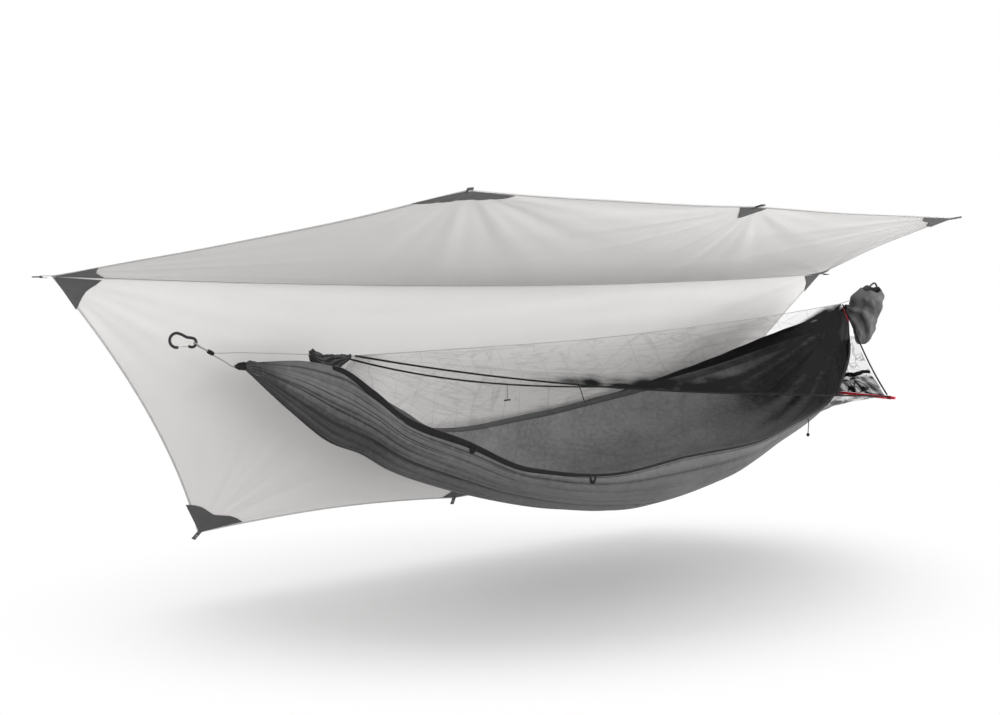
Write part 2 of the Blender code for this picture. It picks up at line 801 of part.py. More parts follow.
def make_cord_loop(end):
    """Two strands from the sleeve, round the small bow's rod and back."""
    bar = clip_point(SMALL_U + SMALL_BOW, SMALL_V)
    pull = unit(bar - SLEEVE_SPOT)
    side = np.array((0.0, 1.0, 0.0))
    wrap = CARABINER_RADIUS + LOOP_RADIUS + CLEAR
    pinch = LOOP_RADIUS + CLEAR
    gap = np.linalg.norm(bar - SLEEVE_SPOT)
    points = []
    for d in (0.0, 0.25, 0.5, 0.75):
        reach = mix(CLEAR, gap - wrap / 2, d)
        points.append(SLEEVE_SPOT + pull * reach + side * mix(pinch, wrap, d ** 1.5))
    for a in np.linspace(0, pi, 11):
        points.append(bar + wrap * (side * cos(a) + pull * sin(a)))
    for point in points[3::-1]:
        points.append(point * np.array((1, -1, 1)))
    tube(end + "_cord_loop", [end_point(end, p) for p in points], LOOP_RADIUS, "cord")


def up_from(direction):
    """Direction square to one in the plane y = 0, on its upper side."""
    up = np.array((-direction[2], 0.0, direction[0]))
    return up if up[2] > 0 else -up


def make_body_cord(end):
    """Cord from the sleeve's far face into the whipped gather."""
    pull = unit(clip_point(SMALL_U, SMALL_V) - SLEEVE_SPOT)
    face = SLEEVE_SPOT - pull * (SLEEVE_LENGTH + CLEAR) - up_from(pull) * RIDGE_OFFSET
    low = HULL_DEPTH * HULL_DEPTH_SHARES[0] / 2
    stop = FOOT - np.array((STUB_LENGTH + CAP_NOSE / 2, 0, low))
    mouth = stop - np.array((CAP_NOSE, 0, 0))
    clear_of_face = face - pull * LOOP_RADIUS
    points = [face, clear_of_face] + [mix(clear_of_face, mouth, d) for d in (0.35, 0.7, 1)] + [stop]
    tube(end + "_body_cord", [end_point(end, p) for p in points], LOOP_RADIUS, "cord")


def make_whipping(end):
    """Lashed cap round the gathered end, with the cord's mouth in its nose."""
    low = HULL_DEPTH * HULL_DEPTH_SHARES[0] / 2
    origin = FOOT - np.array((0, 0, low))
    lip = STUB_LENGTH + SEWN_GAP * 2
    mouth = LOOP_RADIUS + SEWN_GAP
    profile = [(lip + CAP_NOSE, mouth), (lip + CAP_NOSE, CAP_MOUTH), (lip, CAP_RADIUS * 0.9)]
    for turn in range(3):
        start = lip * (1 - turn / 3)
        profile.append((start - lip / 12, CAP_RADIUS))
        profile.append((start - lip / 4, CAP_RADIUS))
        profile.append((start - lip / 3, CAP_RADIUS * 0.94))
    profile += [(0, CAP_BORE), (lip, CAP_BORE), (lip, mouth)]
    direction = end_direction(end, (-1, 0, 0))
    turned(end + "_whipping", profile, end_point(end, origin), direction, "black", 18)


def ridgeline_route():
    """Points of the ridgeline's cord, from one sleeve's face to the other's."""
    pull = unit(clip_point(SMALL_U, SMALL_V) - SLEEVE_SPOT)
    face = SLEEVE_SPOT - pull * (SLEEVE_LENGTH + CLEAR) + up_from(pull) * RIDGE_OFFSET
    off = face - pull * LOOP_RADIUS
    places = np.linspace(off[0], HANG_SPAN - off[0], 42)[1:-1]
    return np.array([face, off] + [ridge(x) for x in places] + [at_head(off), at_head(face)])


def make_bunch():
    """Lumpy roll of gathered net round the ridgeline."""
    around = 14
    rings = []
    for share, size in zip(BUNCH_SHARES, BUNCH_SIZE_SHARES):
        middle = ridge(BUNCH_START + BUNCH_LENGTH * share)
        ring = []
        for j in range(around):
            a = 2 * pi * j / around
            lump = 1 + BIG_LUMP_SHARE * sin(3 * a + 5 * share) + SMALL_LUMP_SHARE * sin(5 * a - 9 * share)
            radius = BUNCH_RADIUS * size * lump
            drop = BUNCH_DROP * sin(pi * share)
            ring.append(middle + np.array((0, radius * cos(a), radius * sin(a) - drop)))
        rings.append(np.array(ring))
    bore = RIDGE_RADIUS + SEWN_GAP * 2
    for share in BUNCH_SHARES[::-1]:
        middle = ridge(BUNCH_START + BUNCH_LENGTH * share)
        ring = [middle + bore * np.array((0, cos(2 * pi * j / around), sin(2 * pi * j / around)))
                for j in range(around)]
        rings.append(np.array(ring))
    hollow("foot_bunch", rings, "net")


# Small trim on the hammock

def hem_frame(side, s, depth):
    """Point and directions on the hull's outside, a given length under the hem."""
    line = section(s)[::-side]
    spot = along(line, depth, depth, 1)[0]
    step = (WALL_END_SHARE - WALL_START_SHARE) / WALL_CELLS / 2
    ahead = unit(hem(side, s + step) - hem(side, s - step))
    out = square_to(outward(s, spot)[0], ahead)
    return spot, ahead, side * np.cross(out, ahead), out


def make_hem_loop(name, s, open_share):
    """Webbing V sewn under the near hem."""
    spot, ahead, down, out = hem_frame(-1, s, LOOP_STRAP / 2)
    spot = spot + out * LOOP_LIFT
    half = LOOP_WIDTH / 2
    inner = half * open_share
    outline = ((-half, 0, -inner, 0), (-half * .85, .4, -inner * .7, .3), (-half * .35, .9, -inner * .2, .55),
               (half * .35, .9, inner * .2, .55), (half * .85, .4, inner * .7, .3), (half, 0, inner, 0))
    rows = []
    for x0, d0, x1, d1 in outline:
        outer = spot + ahead * x0 + down * LOOP_HEIGHT * d0
        rows.append([outer, spot + ahead * x1 + down * LOOP_HEIGHT * d1])
    sheet(name, rows, WEBBING, "black")


def make_toggle(name, spot, direction, look):
    """Barrel toggle across the end of a tie."""
    half = TOGGLE_LENGTH / 2
    profile = [(-half, 0), (-half, TOGGLE_RADIUS * .7), (-half * .8, TOGGLE_RADIUS), (-half * .3, TOGGLE_RADIUS * .85),
               (half * .3, TOGGLE_RADIUS * .85), (half * .8, TOGGLE_RADIUS), (half, TOGGLE_RADIUS * .7), (half, 0)]
    turned(name, profile, spot, direction, look, 10)


def make_ties():
    tube("near_toggle_cord", NEAR_TIE_ROUTE, TIE_RADIUS, "black")
    tube("far_toggle_cord", FAR_TIE_ROUTE, TIE_RADIUS, "cord")
    tube("head_tie_cord", HEAD_TIE_ROUTE, TIE_RADIUS, "black")
    drop = np.array((0, 0, TOGGLE_RADIUS + CLEAR))
    ahead = unit((SPAN, 0, HANG_RISE))
    make_toggle("near_toggle", np.array(NEAR_TIE_ROUTE[-1]) - drop, ahead, "plastic")
    make_toggle("far_toggle", np.array(FAR_TIE_ROUTE[-1]) - drop, ahead, "plastic")
    half = KNOT_LENGTH / 2
    profile = [(-half, 0), (-half * .7, KNOT_RADIUS * .7), (0, KNOT_RADIUS), (half * .7, KNOT_RADIUS * .7), (half, 0)]
    spot = np.array(HEAD_TIE_ROUTE[-1]) - np.array((0, 0, half + CLEAR))
    turned("head_tie_knot", profile, spot, (0, 0, 1), "black", 10)


def block(name, size, place, look):
    """Box with given edges, set in place by a matrix."""
    work = bmesh.new()
    bmesh.ops.create_cube(work, size=1.0)
    bmesh.ops.scale(work, verts=work.verts, vec=size)
    mesh = bpy.data.meshes.new(name)
    work.to_mesh(mesh)
    work.free()
    made = finish(mesh, name, look)
    made.matrix_world = place
    return made


def make_zip_slider():
    """Slider with its pull, outside the far band."""
    share = (WALL_STATIONS[ZIP_CELL] + WALL_STATIONS[ZIP_CELL + 1]) / 2
    spot, ahead, down, out = hem_frame(1, share, SLIDER_DROP)
    spot = spot + out * SLIDER_LIFT
    square = unit(np.cross(ahead, down))
    size = (SLIDER_LENGTH, SLIDER_HEIGHT, SLIDER_THICKNESS)
    made = block("zip_slider", size, frame(spot, ahead, down, square), "metal")
    size = (PULL_WIDTH, PULL_LENGTH, PULL_THICKNESS)
    pull = block("zip_pull", size, frame(spot + down * PULL_LENGTH / 2, ahead, down, square), "metal")
    pull.hide_render = True
    pull.display_type = "WIRE"
    joined = made.modifiers.new("Pull", "BOOLEAN")
    joined.operation = "UNION"
    joined.object = pull


def sack_ring(share, inset):
    """One ring of the sack, wavy with its folds, drawn in by an inset."""
    size = float(curve(SACK_SHARES, SACK_SIZE_SHARES, share))
    around = 24
    z = -SACK_BOTTOM + SACK_HEIGHT * share
    ring = []
    for j in range(around):
        a = 2 * pi * j / around
        wave = SACK_FOLD * sin(6 * a) * (0.3 + 0.7 * share)
        wide = SACK_WIDTH * size + wave - inset
        deep = SACK_DEPTH * size + wave - inset
        x = SACK_X + SACK_LEAN * (share - 0.5) * 2 + wide * cos(a)
        ring.append((x, -SACK_Y + deep * sin(a), z))
    return np.array(ring)


def make_sack():
    """Open-mouthed sack: outside up to the mouth, then back down inside."""
    rings = [sack_ring(share, 0.0) for share in SACK_SHARES]
    rings += [sack_ring(max(share, SACK_CLOTH / SACK_HEIGHT), SACK_CLOTH) for share in SACK_SHARES[::-1]]
    lofted("stuff_sack", rings, "sack")


def draw_spot():
    """Middle of the drawcord's loop, which hangs on the ridgeline."""
    reach = DRAW_REACH - DRAW_RADIUS - RIDGE_RADIUS - SEWN_GAP
    route = ridgeline_route()
    high = np.interp(DRAW_X, route[:, 0], route[:, 2])
    return np.array((DRAW_X, -DRAW_Y, high - (reach ** 2 - DRAW_Y ** 2) ** 0.5))


def make_drawcord():
    """Cord loop that holds the sack on the suspension lines."""
    turns = np.linspace(0, 2 * pi, 20, endpoint=False)
    points = [draw_spot() + DRAW_REACH * np.array((0, cos(a), sin(a))) for a in turns]
    tube("sack_drawcord", points, DRAW_RADIUS, "black", closed=True)


def make_cord_lock():
    """Barrel lock under the drawcord, with its spring button below."""
    spot = draw_spot() - np.array((0, 0, DRAW_REACH + DRAW_RADIUS + CLEAR))
    bore = BUTTON_RADIUS + CLEAR
    depth = LOCK_LENGTH / 2
    edge = LOCK_RADIUS / 6
    profile = ((0, 0), (0, LOCK_RADIUS - edge), (-edge, LOCK_RADIUS), (-LOCK_LENGTH + edge, LOCK_RADIUS),
               (-LOCK_LENGTH, LOCK_RADIUS - edge), (-LOCK_LENGTH, bore), (-depth, bore), (-depth, 0))
    turned("cord_lock", profile, spot, (0, 0, 1), "plastic", 14)
    high = -depth - BUTTON_STROKE - CLEAR
    low = -LOCK_LENGTH - BUTTON_LENGTH
    profile = ((high, 0), (high, BUTTON_RADIUS), (low + edge, BUTTON_RADIUS), (low, BUTTON_RADIUS - edge), (low, 0))
    turned("cord_lock_button", profile, spot, (0, 0, 1), "plastic", 14)


# Tarp

def tarp_pitch(side, a):
    return radians(NEAR_PITCH) if side < 0 else radians(-FAR_PITCH - FAR_TWIST * a)


def half_length(b):
    """Half the panel's length at share b of its width, with the end's scallop."""
    straight = mix(TARP_RIDGE, TARP_SIDE, b) / 2
    return straight - END_SCALLOP * 4 * b * (1 - b)


def tarp_point(side, a, b):
    """Panel point: a from foot (-1) to head (1), b from ridge (0) to outer edge (1)."""
    run = abs(a)
    width = (TARP_PANEL - SIDE_SCALLOP * 4 * run * (1 - run) * b ** 3) * b
    pitch = tarp_pitch(side, a)
    sag = NEAR_PANEL_SAG if side < 0 else FAR_PANEL_SAG
    dip = sag * 4 * b * (1 - b) * (1 - a * a)
    y = TARP_Y + side * (TAPE_WIDTH / 2 + PANEL_GAP + width * cos(pitch))
    z = ridge_height(a) + RIDGE_CURVE * (1 - a * a) * b + width * sin(pitch)
    return np.array((TARP_X + a * half_length(b), y, z)) + dip * tarp_inner(side, a)


def ridge_height(a):
    return TARP_Z - TARP_TILT * (a + 1) - RIDGE_CURVE * (1 - a * a)


def tarp_inner(side, a):
    """Direction from a panel to the hammock's side of it."""
    pitch = tarp_pitch(side, a)
    return np.array((0.0, side * sin(pitch), -cos(pitch)))


def make_tarp_panels():
    for side, name in ((-1, "tarp_panel_near"), (1, "tarp_panel_far")):
        rows = []
        for a in np.linspace(-1, 1, TARP_COLUMNS):
            rows.append([tarp_point(side, a, b) for b in np.linspace(0, 1, TARP_ROWS)])
        sheet(name, rows, TARP_CLOTH, "tarp")


def make_tarp_seam():
    """Ridge tape, with a loop at each end that holds a ring."""
    bend = RING_WIRE + CLEAR + TAPE_CLOTH / 2
    path = []
    for end in (-1, 1):
        tip = np.array((TARP_X + end * TARP_RIDGE / 2, TARP_Y, ridge_height(end)))
        bar = tip + np.array((end * STRAP_LENGTH, 0, 0))
        hook = [tip + np.array((end * STRAP_LENGTH * d, 0, 0)) for d in (0.35, 0.7)]
        for angle in np.linspace(90, -90, 7):
            a = radians(angle)
            hook.append(bar + bend * np.array((end * cos(a), 0, sin(a) - 1)))
        back = np.array((-end * STRAP_LENGTH * 0.55, 0, -2 * bend))
        hook.append(bar + back)
        path.append(hook)
    middle = []
    for a in np.linspace(-1, 1, TARP_COLUMNS):
        middle.append(np.array((TARP_X + a * TARP_RIDGE / 2, TARP_Y, ridge_height(a))))
    line = path[0][::-1] + middle + path[1]
    half = np.array((0, TAPE_WIDTH / 2, 0))
    sheet("tarp_ridge_seam", [[p - half, p + half] for p in line], TAPE_CLOTH, "webbing")


def ring_spot(end):
    bend = RING_WIRE + CLEAR + TAPE_CLOTH / 2
    x = TARP_X + end * (TARP_RIDGE / 2 + STRAP_LENGTH)
    return np.array((x, TARP_Y, ridge_height(end) - bend))


def make_rings():
    for end, name in ((-1, "ridge_ring_foot"), (1, "ridge_ring_head")):
        bar = ring_spot(end)
        half = RING_WIDTH / 2
        points = [(0, -half), (0, 0), (0, half)]
        for a in np.linspace(-85, 85, 9)[::-1]:
            points.append((RING_REACH * cos(radians(a)) * 0.86 + RING_REACH * 0.14, half * sin(radians(a)) * 1.1))
        line = [bar + np.array((end * x, y, 0)) for x, y in points]
        tube(name, line, RING_WIRE, "wire", closed=True)


def surface(side, x, w):
    """Panel surface under a given x, at a given length from the ridge."""
    b = np.clip(w / TARP_PANEL, 0, 1)
    a = np.clip((x - TARP_X) / half_length(b), -1, 1)
    base = tarp_point(side, a, b)
    pitch = tarp_pitch(side, a)
    shift = w - np.clip(w, 0, TARP_PANEL)
    return np.array((x, base[1] + side * shift * cos(pitch), base[2] + shift * sin(pitch)))


def patch_rows(side, x, w, turns, reach, hollow_share):
    """Fan of points about a corner, lifted off the panel's inner face."""
    rows = []
    for q in (1, 0.7, 0.4, 0):
        row = []
        for k, turn in enumerate(np.linspace(*turns, 4)):
            bow = 1 - hollow_share * sin(pi * k / 3)
            d = mix(PATCH_ROOT, reach * bow, q)
            row.append(surface(side, x + d * cos(turn), w + d * sin(turn)))
        rows.append(row)
    a = np.clip((x - TARP_X) / (TARP_RIDGE / 2), -1, 1)
    return [[p + tarp_inner(side, a) * PATCH_LIFT for p in row] for row in rows]


def make_tie_outs():
    """Reinforced corners and side points, each with a webbing tab and eyelet."""
    lean = np.arctan2(TARP_PANEL, (TARP_RIDGE - TARP_SIDE) / 2)
    margin = radians(PATCH_MARGIN)
    spots = ((-1, "foot", CORNER_PATCH, CORNER_HOLLOW_SHARE, (lean - pi + margin, -margin)),
             (0, "side", SIDE_PATCH, PATCH_HOLLOW_SHARE, (margin - pi, -margin)),
             (1, "head", CORNER_PATCH, CORNER_HOLLOW_SHARE, (margin - pi, -lean - margin)))
    w = TARP_PANEL - PATCH_EDGE * 2
    for side, label in ((-1, "near"), (1, "far")):
        for end, place, reach, hollow_share, turns in spots:
            x = TARP_X + end * (TARP_SIDE / 2 - PATCH_EDGE * 2)
            rows = patch_rows(side, x, w, turns, reach, hollow_share)
            middle = sum(turns) / 2
            out = np.array((-cos(middle), -sin(middle)))
            across = np.array((-out[1], out[0]))
            a = np.clip((x - TARP_X) / (TARP_RIDGE / 2), -1, 1)
            lift = tarp_inner(side, a) * PATCH_LIFT
            for d in (0.0, 0.35, 0.35 + EYELET / TAB_LENGTH, 1.0):
                row = []
                for c in (-1, -EYELET / TAB_WIDTH, EYELET / TAB_WIDTH, 1):
                    px = x + out[0] * d * TAB_LENGTH - across[0] * c * TAB_WIDTH / 2
                    pw = w + out[1] * d * TAB_LENGTH - across[1] * c * TAB_WIDTH / 2
                    row.append(surface(side, px, pw) + lift)
                rows.append(row)
            sheet(f"{label}_{place}_tie_out", rows, PATCH_CLOTH, "patch", holes={(5, 1)})


def make_ridge_patches():
    lean = np.arctan2(TARP_PANEL, (TARP_RIDGE - TARP_SIDE) / 2)
    margin = radians(PATCH_MARGIN)
    for side, label in ((-1, "near"), (1, "far")):
        for end, place in ((-1, "foot"), (1, "head")):
            x = TARP_X + end * (TARP_RIDGE / 2 - PATCH_EDGE * 3)
            w = PATCH_EDGE
            turns = (margin, lean - margin * 2) if end < 0 else (pi - margin, pi - lean + margin * 2)
            rows = patch_rows(side, x, w, turns, RIDGE_PATCH, PATCH_HOLLOW_SHARE)
            sheet(f"ridge_patch_{label}_{place}", rows, PATCH_CLOTH, "patch")


def main():
    clear_scene()
    make_hull()
    make_zip_bands()
    make_roofs()
    make_walls()
    make_seams()
    make_edge_bindings()
    make_floor()
    make_end_panel()
    make_slack_band()
    make_marker()
    make_rod()
    for end in ("foot", "head"):
        make_carabiner(end)
        make_gate(end)
        make_sleeve(end)
        make_cord_loop(end)
        make_body_cord(end)
        make_whipping(end)
    tube("ridgeline", ridgeline_route(), RIDGE_RADIUS, "cord")
    make_bunch()
    make_hem_loop("near_hem_loop_foot", HEM_LOOP_SHARES[0], 0.2)
    make_hem_loop("near_hem_loop_head", HEM_LOOP_SHARES[1], 0.55)
    make_ties()
    make_zip_slider()
    make_sack()
    make_drawcord()
    make_cord_lock()
    make_tarp_seam()
    make_tarp_panels()
    make_tie_outs()
    make_ridge_patches()
    make_rings()


main()
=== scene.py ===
"""Hammock tent, dressed: cloth, bug mesh, piping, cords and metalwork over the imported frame.

Metres, +Z up. The origin is where the foot carabiner hangs, +X runs to the head end
and -Y is the side that people get in from.
"""

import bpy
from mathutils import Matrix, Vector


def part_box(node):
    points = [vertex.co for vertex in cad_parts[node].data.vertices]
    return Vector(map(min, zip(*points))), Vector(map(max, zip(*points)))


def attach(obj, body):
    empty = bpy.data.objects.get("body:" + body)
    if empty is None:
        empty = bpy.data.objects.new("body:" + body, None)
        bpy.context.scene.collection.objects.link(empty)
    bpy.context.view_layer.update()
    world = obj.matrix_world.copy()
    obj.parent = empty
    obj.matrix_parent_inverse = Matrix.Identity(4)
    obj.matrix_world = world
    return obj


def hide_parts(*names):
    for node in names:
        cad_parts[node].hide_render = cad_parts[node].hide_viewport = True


bl_info = {
    "name": "Hammock Tent",
    "version": (1, 0, 0),
    "blender": (4, 5, 0),
    "location": "3D View > Sidebar > Hammock Tent",
    "description": "Builds a hammock with a bug net under a six-sided tarp",
    "category": "Add Mesh",
}

import bmesh
import bpy
import numpy as np
from numpy import cos, pi, sin

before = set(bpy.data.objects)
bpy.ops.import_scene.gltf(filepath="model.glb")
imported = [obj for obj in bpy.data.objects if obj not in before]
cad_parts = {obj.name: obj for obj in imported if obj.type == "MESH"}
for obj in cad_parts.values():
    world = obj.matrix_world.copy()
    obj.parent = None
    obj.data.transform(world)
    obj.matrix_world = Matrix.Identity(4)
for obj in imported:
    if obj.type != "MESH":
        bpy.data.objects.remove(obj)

TAU = 2 * pi
SIDES = ((-1, "near"), (1, "far"))
ENDS = ((-1, "foot"), (1, "head"))

# Ways in which a grid of points closes: round a cord, and from its last ring to its first too
ROUND, RING = (False, True), (True, True)

# Places that the frame shares with the dressed pieces, in metres
SPAN_OVERALL = 3.17
RISE = 0.095
FOOT = np.array((0.21, 0.0, -0.075))
HEAD = np.array((2.96, 0.0, 0.02))
SPAN = HEAD[0] - FOOT[0]
STUB = 0.019 / SPAN
ROD = (2.772, -0.3237)
CORNER = (2.762, 0.34, -0.318)
NET_START, APEX_X, SEAM_START = 0.56, 2.932, 0.55
WALL_FROM, WALL_TO, FAR_WALL_TO, BAND_TO = 0.105, 0.82, 0.677, 0.965
TARP_MIDDLE, TARP_HEIGHT = np.array((1.41, 0.2)), 0.165
RIDGE_LENGTH, SIDE_LENGTH, RIDGE_SAG = 3.3, 2.05, 0.038
TILT = np.radians(19.6)
SLEEVE = np.array((0.101, 0.0, -0.037))
SACK = (2.994, -0.078)
LASHING = FOOT - (0, 0, 0.00905)

# Gaps between the middles of cords or hems and the nets sewn to them, and radii, in metres
SEAM_GAP, RIDGELINE_GAP, HEM_GAP = 0.0036, 0.0017, 0.0028
CLIP_RADIUS, CORD_RADIUS, TIE_RADIUS, PIPING_RADIUS, RIDGELINE_RADIUS = 0.0039, 0.002, 0.0015, 0.003, 0.0011

# Creases of the hull: how many, their drift along it, their shift and how narrow they are
CREASES = ((11.0, 2.2, 0.3, 11.0), (19.0, -1.6, 1.1, 13.0), (7.0, 1.4, 2.2, 9.0), (29.0, 3.0, 0.7, 12.0))

# Tie-outs of a flat panel: places along and across it, then the count and size of their wrinkles
TIE_OUTS = ((-1.65, 0, 17, .0030), (1.65, 0, 17, .0030), (-1.02, 1, 15, .0036), (1.02, 1, 15, .0036),
            (0, 1, 13, .0030))

# Hull between the gathers: places along it, and there the near and far widths, the drops of the near
# and far hems and the depth, each as its largest size and shares of that
KNOTS = (0, .05, .10, .135, .17, .23, .30, .40, .50, .60, .70, .80, .87, .93, .97, 1)
HULL = ((0.405, (.0054, .035, .114, .185, .257, .42, .60, .82, .956, 1, .906, .726, .556, .39, .19, .0054)),
        (0.365, (.006, .044, .137, .219, .296, .466, .663, .89, 1, .945, .836, .608, .438, .28, .12, .006)),
        (0.42, (0, .012, .083, .257, .464, .657, .898, 1, .94, .929, .86, .798, .69, .46, .25, 0)),
        (0.334, (0, .024, .114, .27, .401, .653, .928, 1, .988, .907, .802, .644, .50, .37, .24, 0)),
        (0.624, (.029, .224, .401, .471, .569, .689, .806, .93, 1, .962, .825, .713, .601, .412, .223, .029)))
OPENINGS = ((0, .05, .12, .25, .75, .88, .95, .98, 1), (165, 150, 118, 96, 96, 99, 100, 112, 165))
BAND_WIDTHS = ((.092, .13, .24, .31, .38, .5, .78, .86, .93, .965),
               (.5, 1, .8, .52, .32, .26, .26, .45, .7, .6))
FAR_BAND_WIDTHS = ((.105, .13, .3, .5, .60, .68, .8, .9, .965), (.2, .3, .5, .8, .9, 1, 1.3, 1.3, .8))
RIDGE_X = (.038, .130, .1726, .3066, .4315, .7211, .8883, .9249, .962)
RIDGE_Z = (-.56, -.85, -1, -.96, -.90, -.315, .233, .384, .78)

# Routes of the free ties, the same as their solids'
NEAR_TIE = ((1.2948, -.1701, -.1937), (1.293, -.184, -.206), (1.291, -.196, -.2265), (1.290, -.208, -.2465))
FAR_TIE = ((1.339, .2450, -.2298), (1.339, .2432, -.245), (1.338, .2425, -.262), (1.338, .242, -.2785))
HEAD_TIE = ((2.268, -.3338, -.3665), (2.268, -.3388, -.3675), (2.269, -.3395, -.375), (2.270, -.338, -.395),
            (2.270, -.337, -.416))


# Sums on whole arrays

def unit(v):
    """Vectors divided by their lengths."""
    v = np.asarray(v, float)
    return v / np.maximum(np.linalg.norm(v, axis=-1, keepdims=True), 1e-12)


def mix(a, b, share):
    """Between a and b, by a share."""
    return np.asarray(a) * (1 - share) + np.asarray(b) * share


def ease(x):
    """Smooth step from 0 to 1: 3x^2 - 2x^3 of x held between 0 and 1."""
    x = np.clip(x, 0, 1)
    return x * x * (3 - 2 * x)


def join(*parts):
    """Arrays, stretched to one shape, as the columns of a last axis."""
    return np.stack(np.broadcast_arrays(*parts), -1)


def lattice(first, second):
    """Two ranges, each (start, stop, count), as the rows and the columns of a grid."""
    return np.linspace(*first)[:, None], np.linspace(*second)[None, :]


def angles(count):
    """Evenly spaced angles round a full turn."""
    return np.linspace(0, TAU, count, endpoint=False)


def run_lengths(points, wrap=False):
    """Length of the line up to each of its points; a wrapped line goes on to its first again."""
    line = np.concatenate([points, points[:1]]) if wrap else points
    return np.concatenate([[0.0], np.cumsum(np.linalg.norm(np.diff(line, axis=0), axis=1))])


def hermite(knots, values, slope, x):
    """Cubic arcs between knots. A share t of the step from a to b has the height
    (1 + 2t)(1 - t)^2 a + t^2 (3 - 2t) b + step (t (1 - t)^2 slope at a + t^2 (t - 1) slope at b)."""
    i = np.clip(np.searchsorted(knots, x, side="right") - 1, 0, len(knots) - 2)
    spread = (...,) + (None,) * (values.ndim - 1)
    step = (knots[i + 1] - knots[i])[spread]
    t = (x - knots[i])[spread] / step
    rise = (1 + 2 * t) * (1 - t) ** 2 * values[i] + t * t * (3 - 2 * t) * values[i + 1]
    return rise + step * (t * (1 - t) ** 2 * slope[i] + t * t * (t - 1) * slope[i + 1])


def table(knots, values, x):
    """Monotone cubic through a table, whose slopes are harmonic means of the chords'."""
    knots, values = np.asarray(knots, float), np.asarray(values, float)
    step = np.diff(knots)
    chord = np.diff(values) / step
    left, right = 2 * step[1:] + step[:-1], step[1:] + 2 * step[:-1]
    same = chord[:-1] * chord[1:] > 0
    before, after = np.where(same, chord[:-1], 1.0), np.where(same, chord[1:], 1.0)
    middle = np.where(same, (left + right) / (left / before + right / after), 0.0)
    slope = np.concatenate([chord[:1], middle, chord[-1:]])
    return hermite(knots, values, slope, np.clip(np.asarray(x, float), knots[0], knots[-1]))


def smooth_path(points, count):
    """Cubic through the points over chord length, with slopes from the neighbours."""
    points = np.asarray(points, float)
    run = run_lengths(points)
    return hermite(run, points, np.gradient(points, run, axis=0), np.linspace(0, run[-1], count))


def square_to(direction, line):
    """Part of each direction that is square to its line, as a unit vector."""
    line = unit(line)
    return unit(direction - line * (direction * line).sum(-1, keepdims=True))


def at_head(points):
    """The head end's points that mirror points of the foot end."""
    points = np.asarray(points, float)
    return points * (-1, 1, 1) + (SPAN_OVERALL, 0, RISE)


# Shapes of the hammock

def hull_creases(s, u):
    """Height in metres and depth from 0 to 1 of the creases that run out from each gather: narrow
    valleys where a sine of u crosses zero, which wander with s and fade towards the middle."""
    along = np.clip(s, 0, 1)
    foot, head = along / 0.15, (1 - along) / 0.08
    height = 0.0055 * foot * np.exp(1 - foot) * ease((0.6 - u) / 0.3) + 0.004 * head * np.exp(1 - head)
    valley = np.zeros(np.broadcast(s, u).shape)
    for count, drift, shift, width in CREASES:
        cross = np.abs(sin(count * u + drift * s + shift + 0.25 * sin(7 * s + count)))
        ends = ease(0.5 + 0.6 * sin(3 * u * count / 5 + 7 * s + shift))
        valley = np.maximum(valley, np.exp(-cross * width) * (0.25 + 0.75 * ends))
    return height, valley


def hull(s, u, lift=0.0):
    """Cloth of the hull. Each cross-section is a skewed circular arc from the near hem (u = -1) to the
    far hem (u = 1): y follows sin(opening u), z follows 1 - cos(opening u). Long folds are sines of u
    whose depth peaks near each gather, and finer pleats fade from the gathers; lift moves the cloth out."""
    s, u = np.broadcast_arrays(np.asarray(s, float), np.asarray(u, float))

    def arc(u):
        near, far, near_drop, far_drop, depth = (size * table(KNOTS, shares, s) for size, shares in HULL)
        line = mix(FOOT[2], HEAD[2], np.clip(s, 0, 1))
        opening = np.radians(table(*OPENINGS, s))
        rise = (1 - cos(opening * u)) / (1 - cos(opening))
        y = (far - near) / 2 * rise + (near + far) / 2 * sin(opening * u) / sin(opening)
        hem_z = (line - near_drop) * (1 - u) / 2 + (line - far_drop) * (1 + u) / 2
        low = line - depth
        return y, low + (hem_z - low) * rise

    y, z = arc(u)
    y0, z0 = arc(u - 1e-4)
    y1, z1 = arc(u + 1e-4)
    out = unit(join(z1 - z0, y0 - y1))
    reach = 0.30 / SPAN
    foot, head = np.clip(s, 0, 1) / reach, (1 - np.clip(s, 0, 1)) / reach
    depth = 0.006 * (foot * np.exp(1 - foot) + head * np.exp(1 - head))
    wave = depth * sin(5 * pi * (u + 1) / 2)
    crease, valley = hull_creases(s, u)
    wave = wave + crease * (0.6 - 2 * valley) + 0.35 * crease * sin(37 * u - 6 * s + 1)
    slack = 0.0016 * sin(9 * u + 14 * s + 2 * sin(7 * s)) * sin(19 * s + 4 * u)
    wave = (wave + slack) * (1 - u ** 4) + lift
    x = FOOT[0] + s * SPAN
    return join(x, y + wave * out[..., 0], z + wave * out[..., 1])


def hem(side, s):
    """Edge of the hull on one side."""
    return hull(s, float(side))


def hem_speed(side, s):
    """Metres of cloth per unit of u at a hem."""
    return np.linalg.norm(hull(s, side * 1.0) - hull(s, side * (1 - 1e-3)), axis=-1) / 1e-3


def band_share(side, s):
    """Width of the zip band in units of u; the far one widens where its cloth bunches."""
    widths = BAND_WIDTHS if side < 0 else FAR_BAND_WIDTHS
    return 0.025 * table(*widths, s) / hem_speed(side, s)


def ridge(x):
    """Ridgeline: monotone cubic through its heights."""
    x = np.asarray(x, float)
    places, heights = SPAN_OVERALL * np.array(RIDGE_X), 0.073 * np.array(RIDGE_Z)
    return join(x, 0, table(places, heights, x))


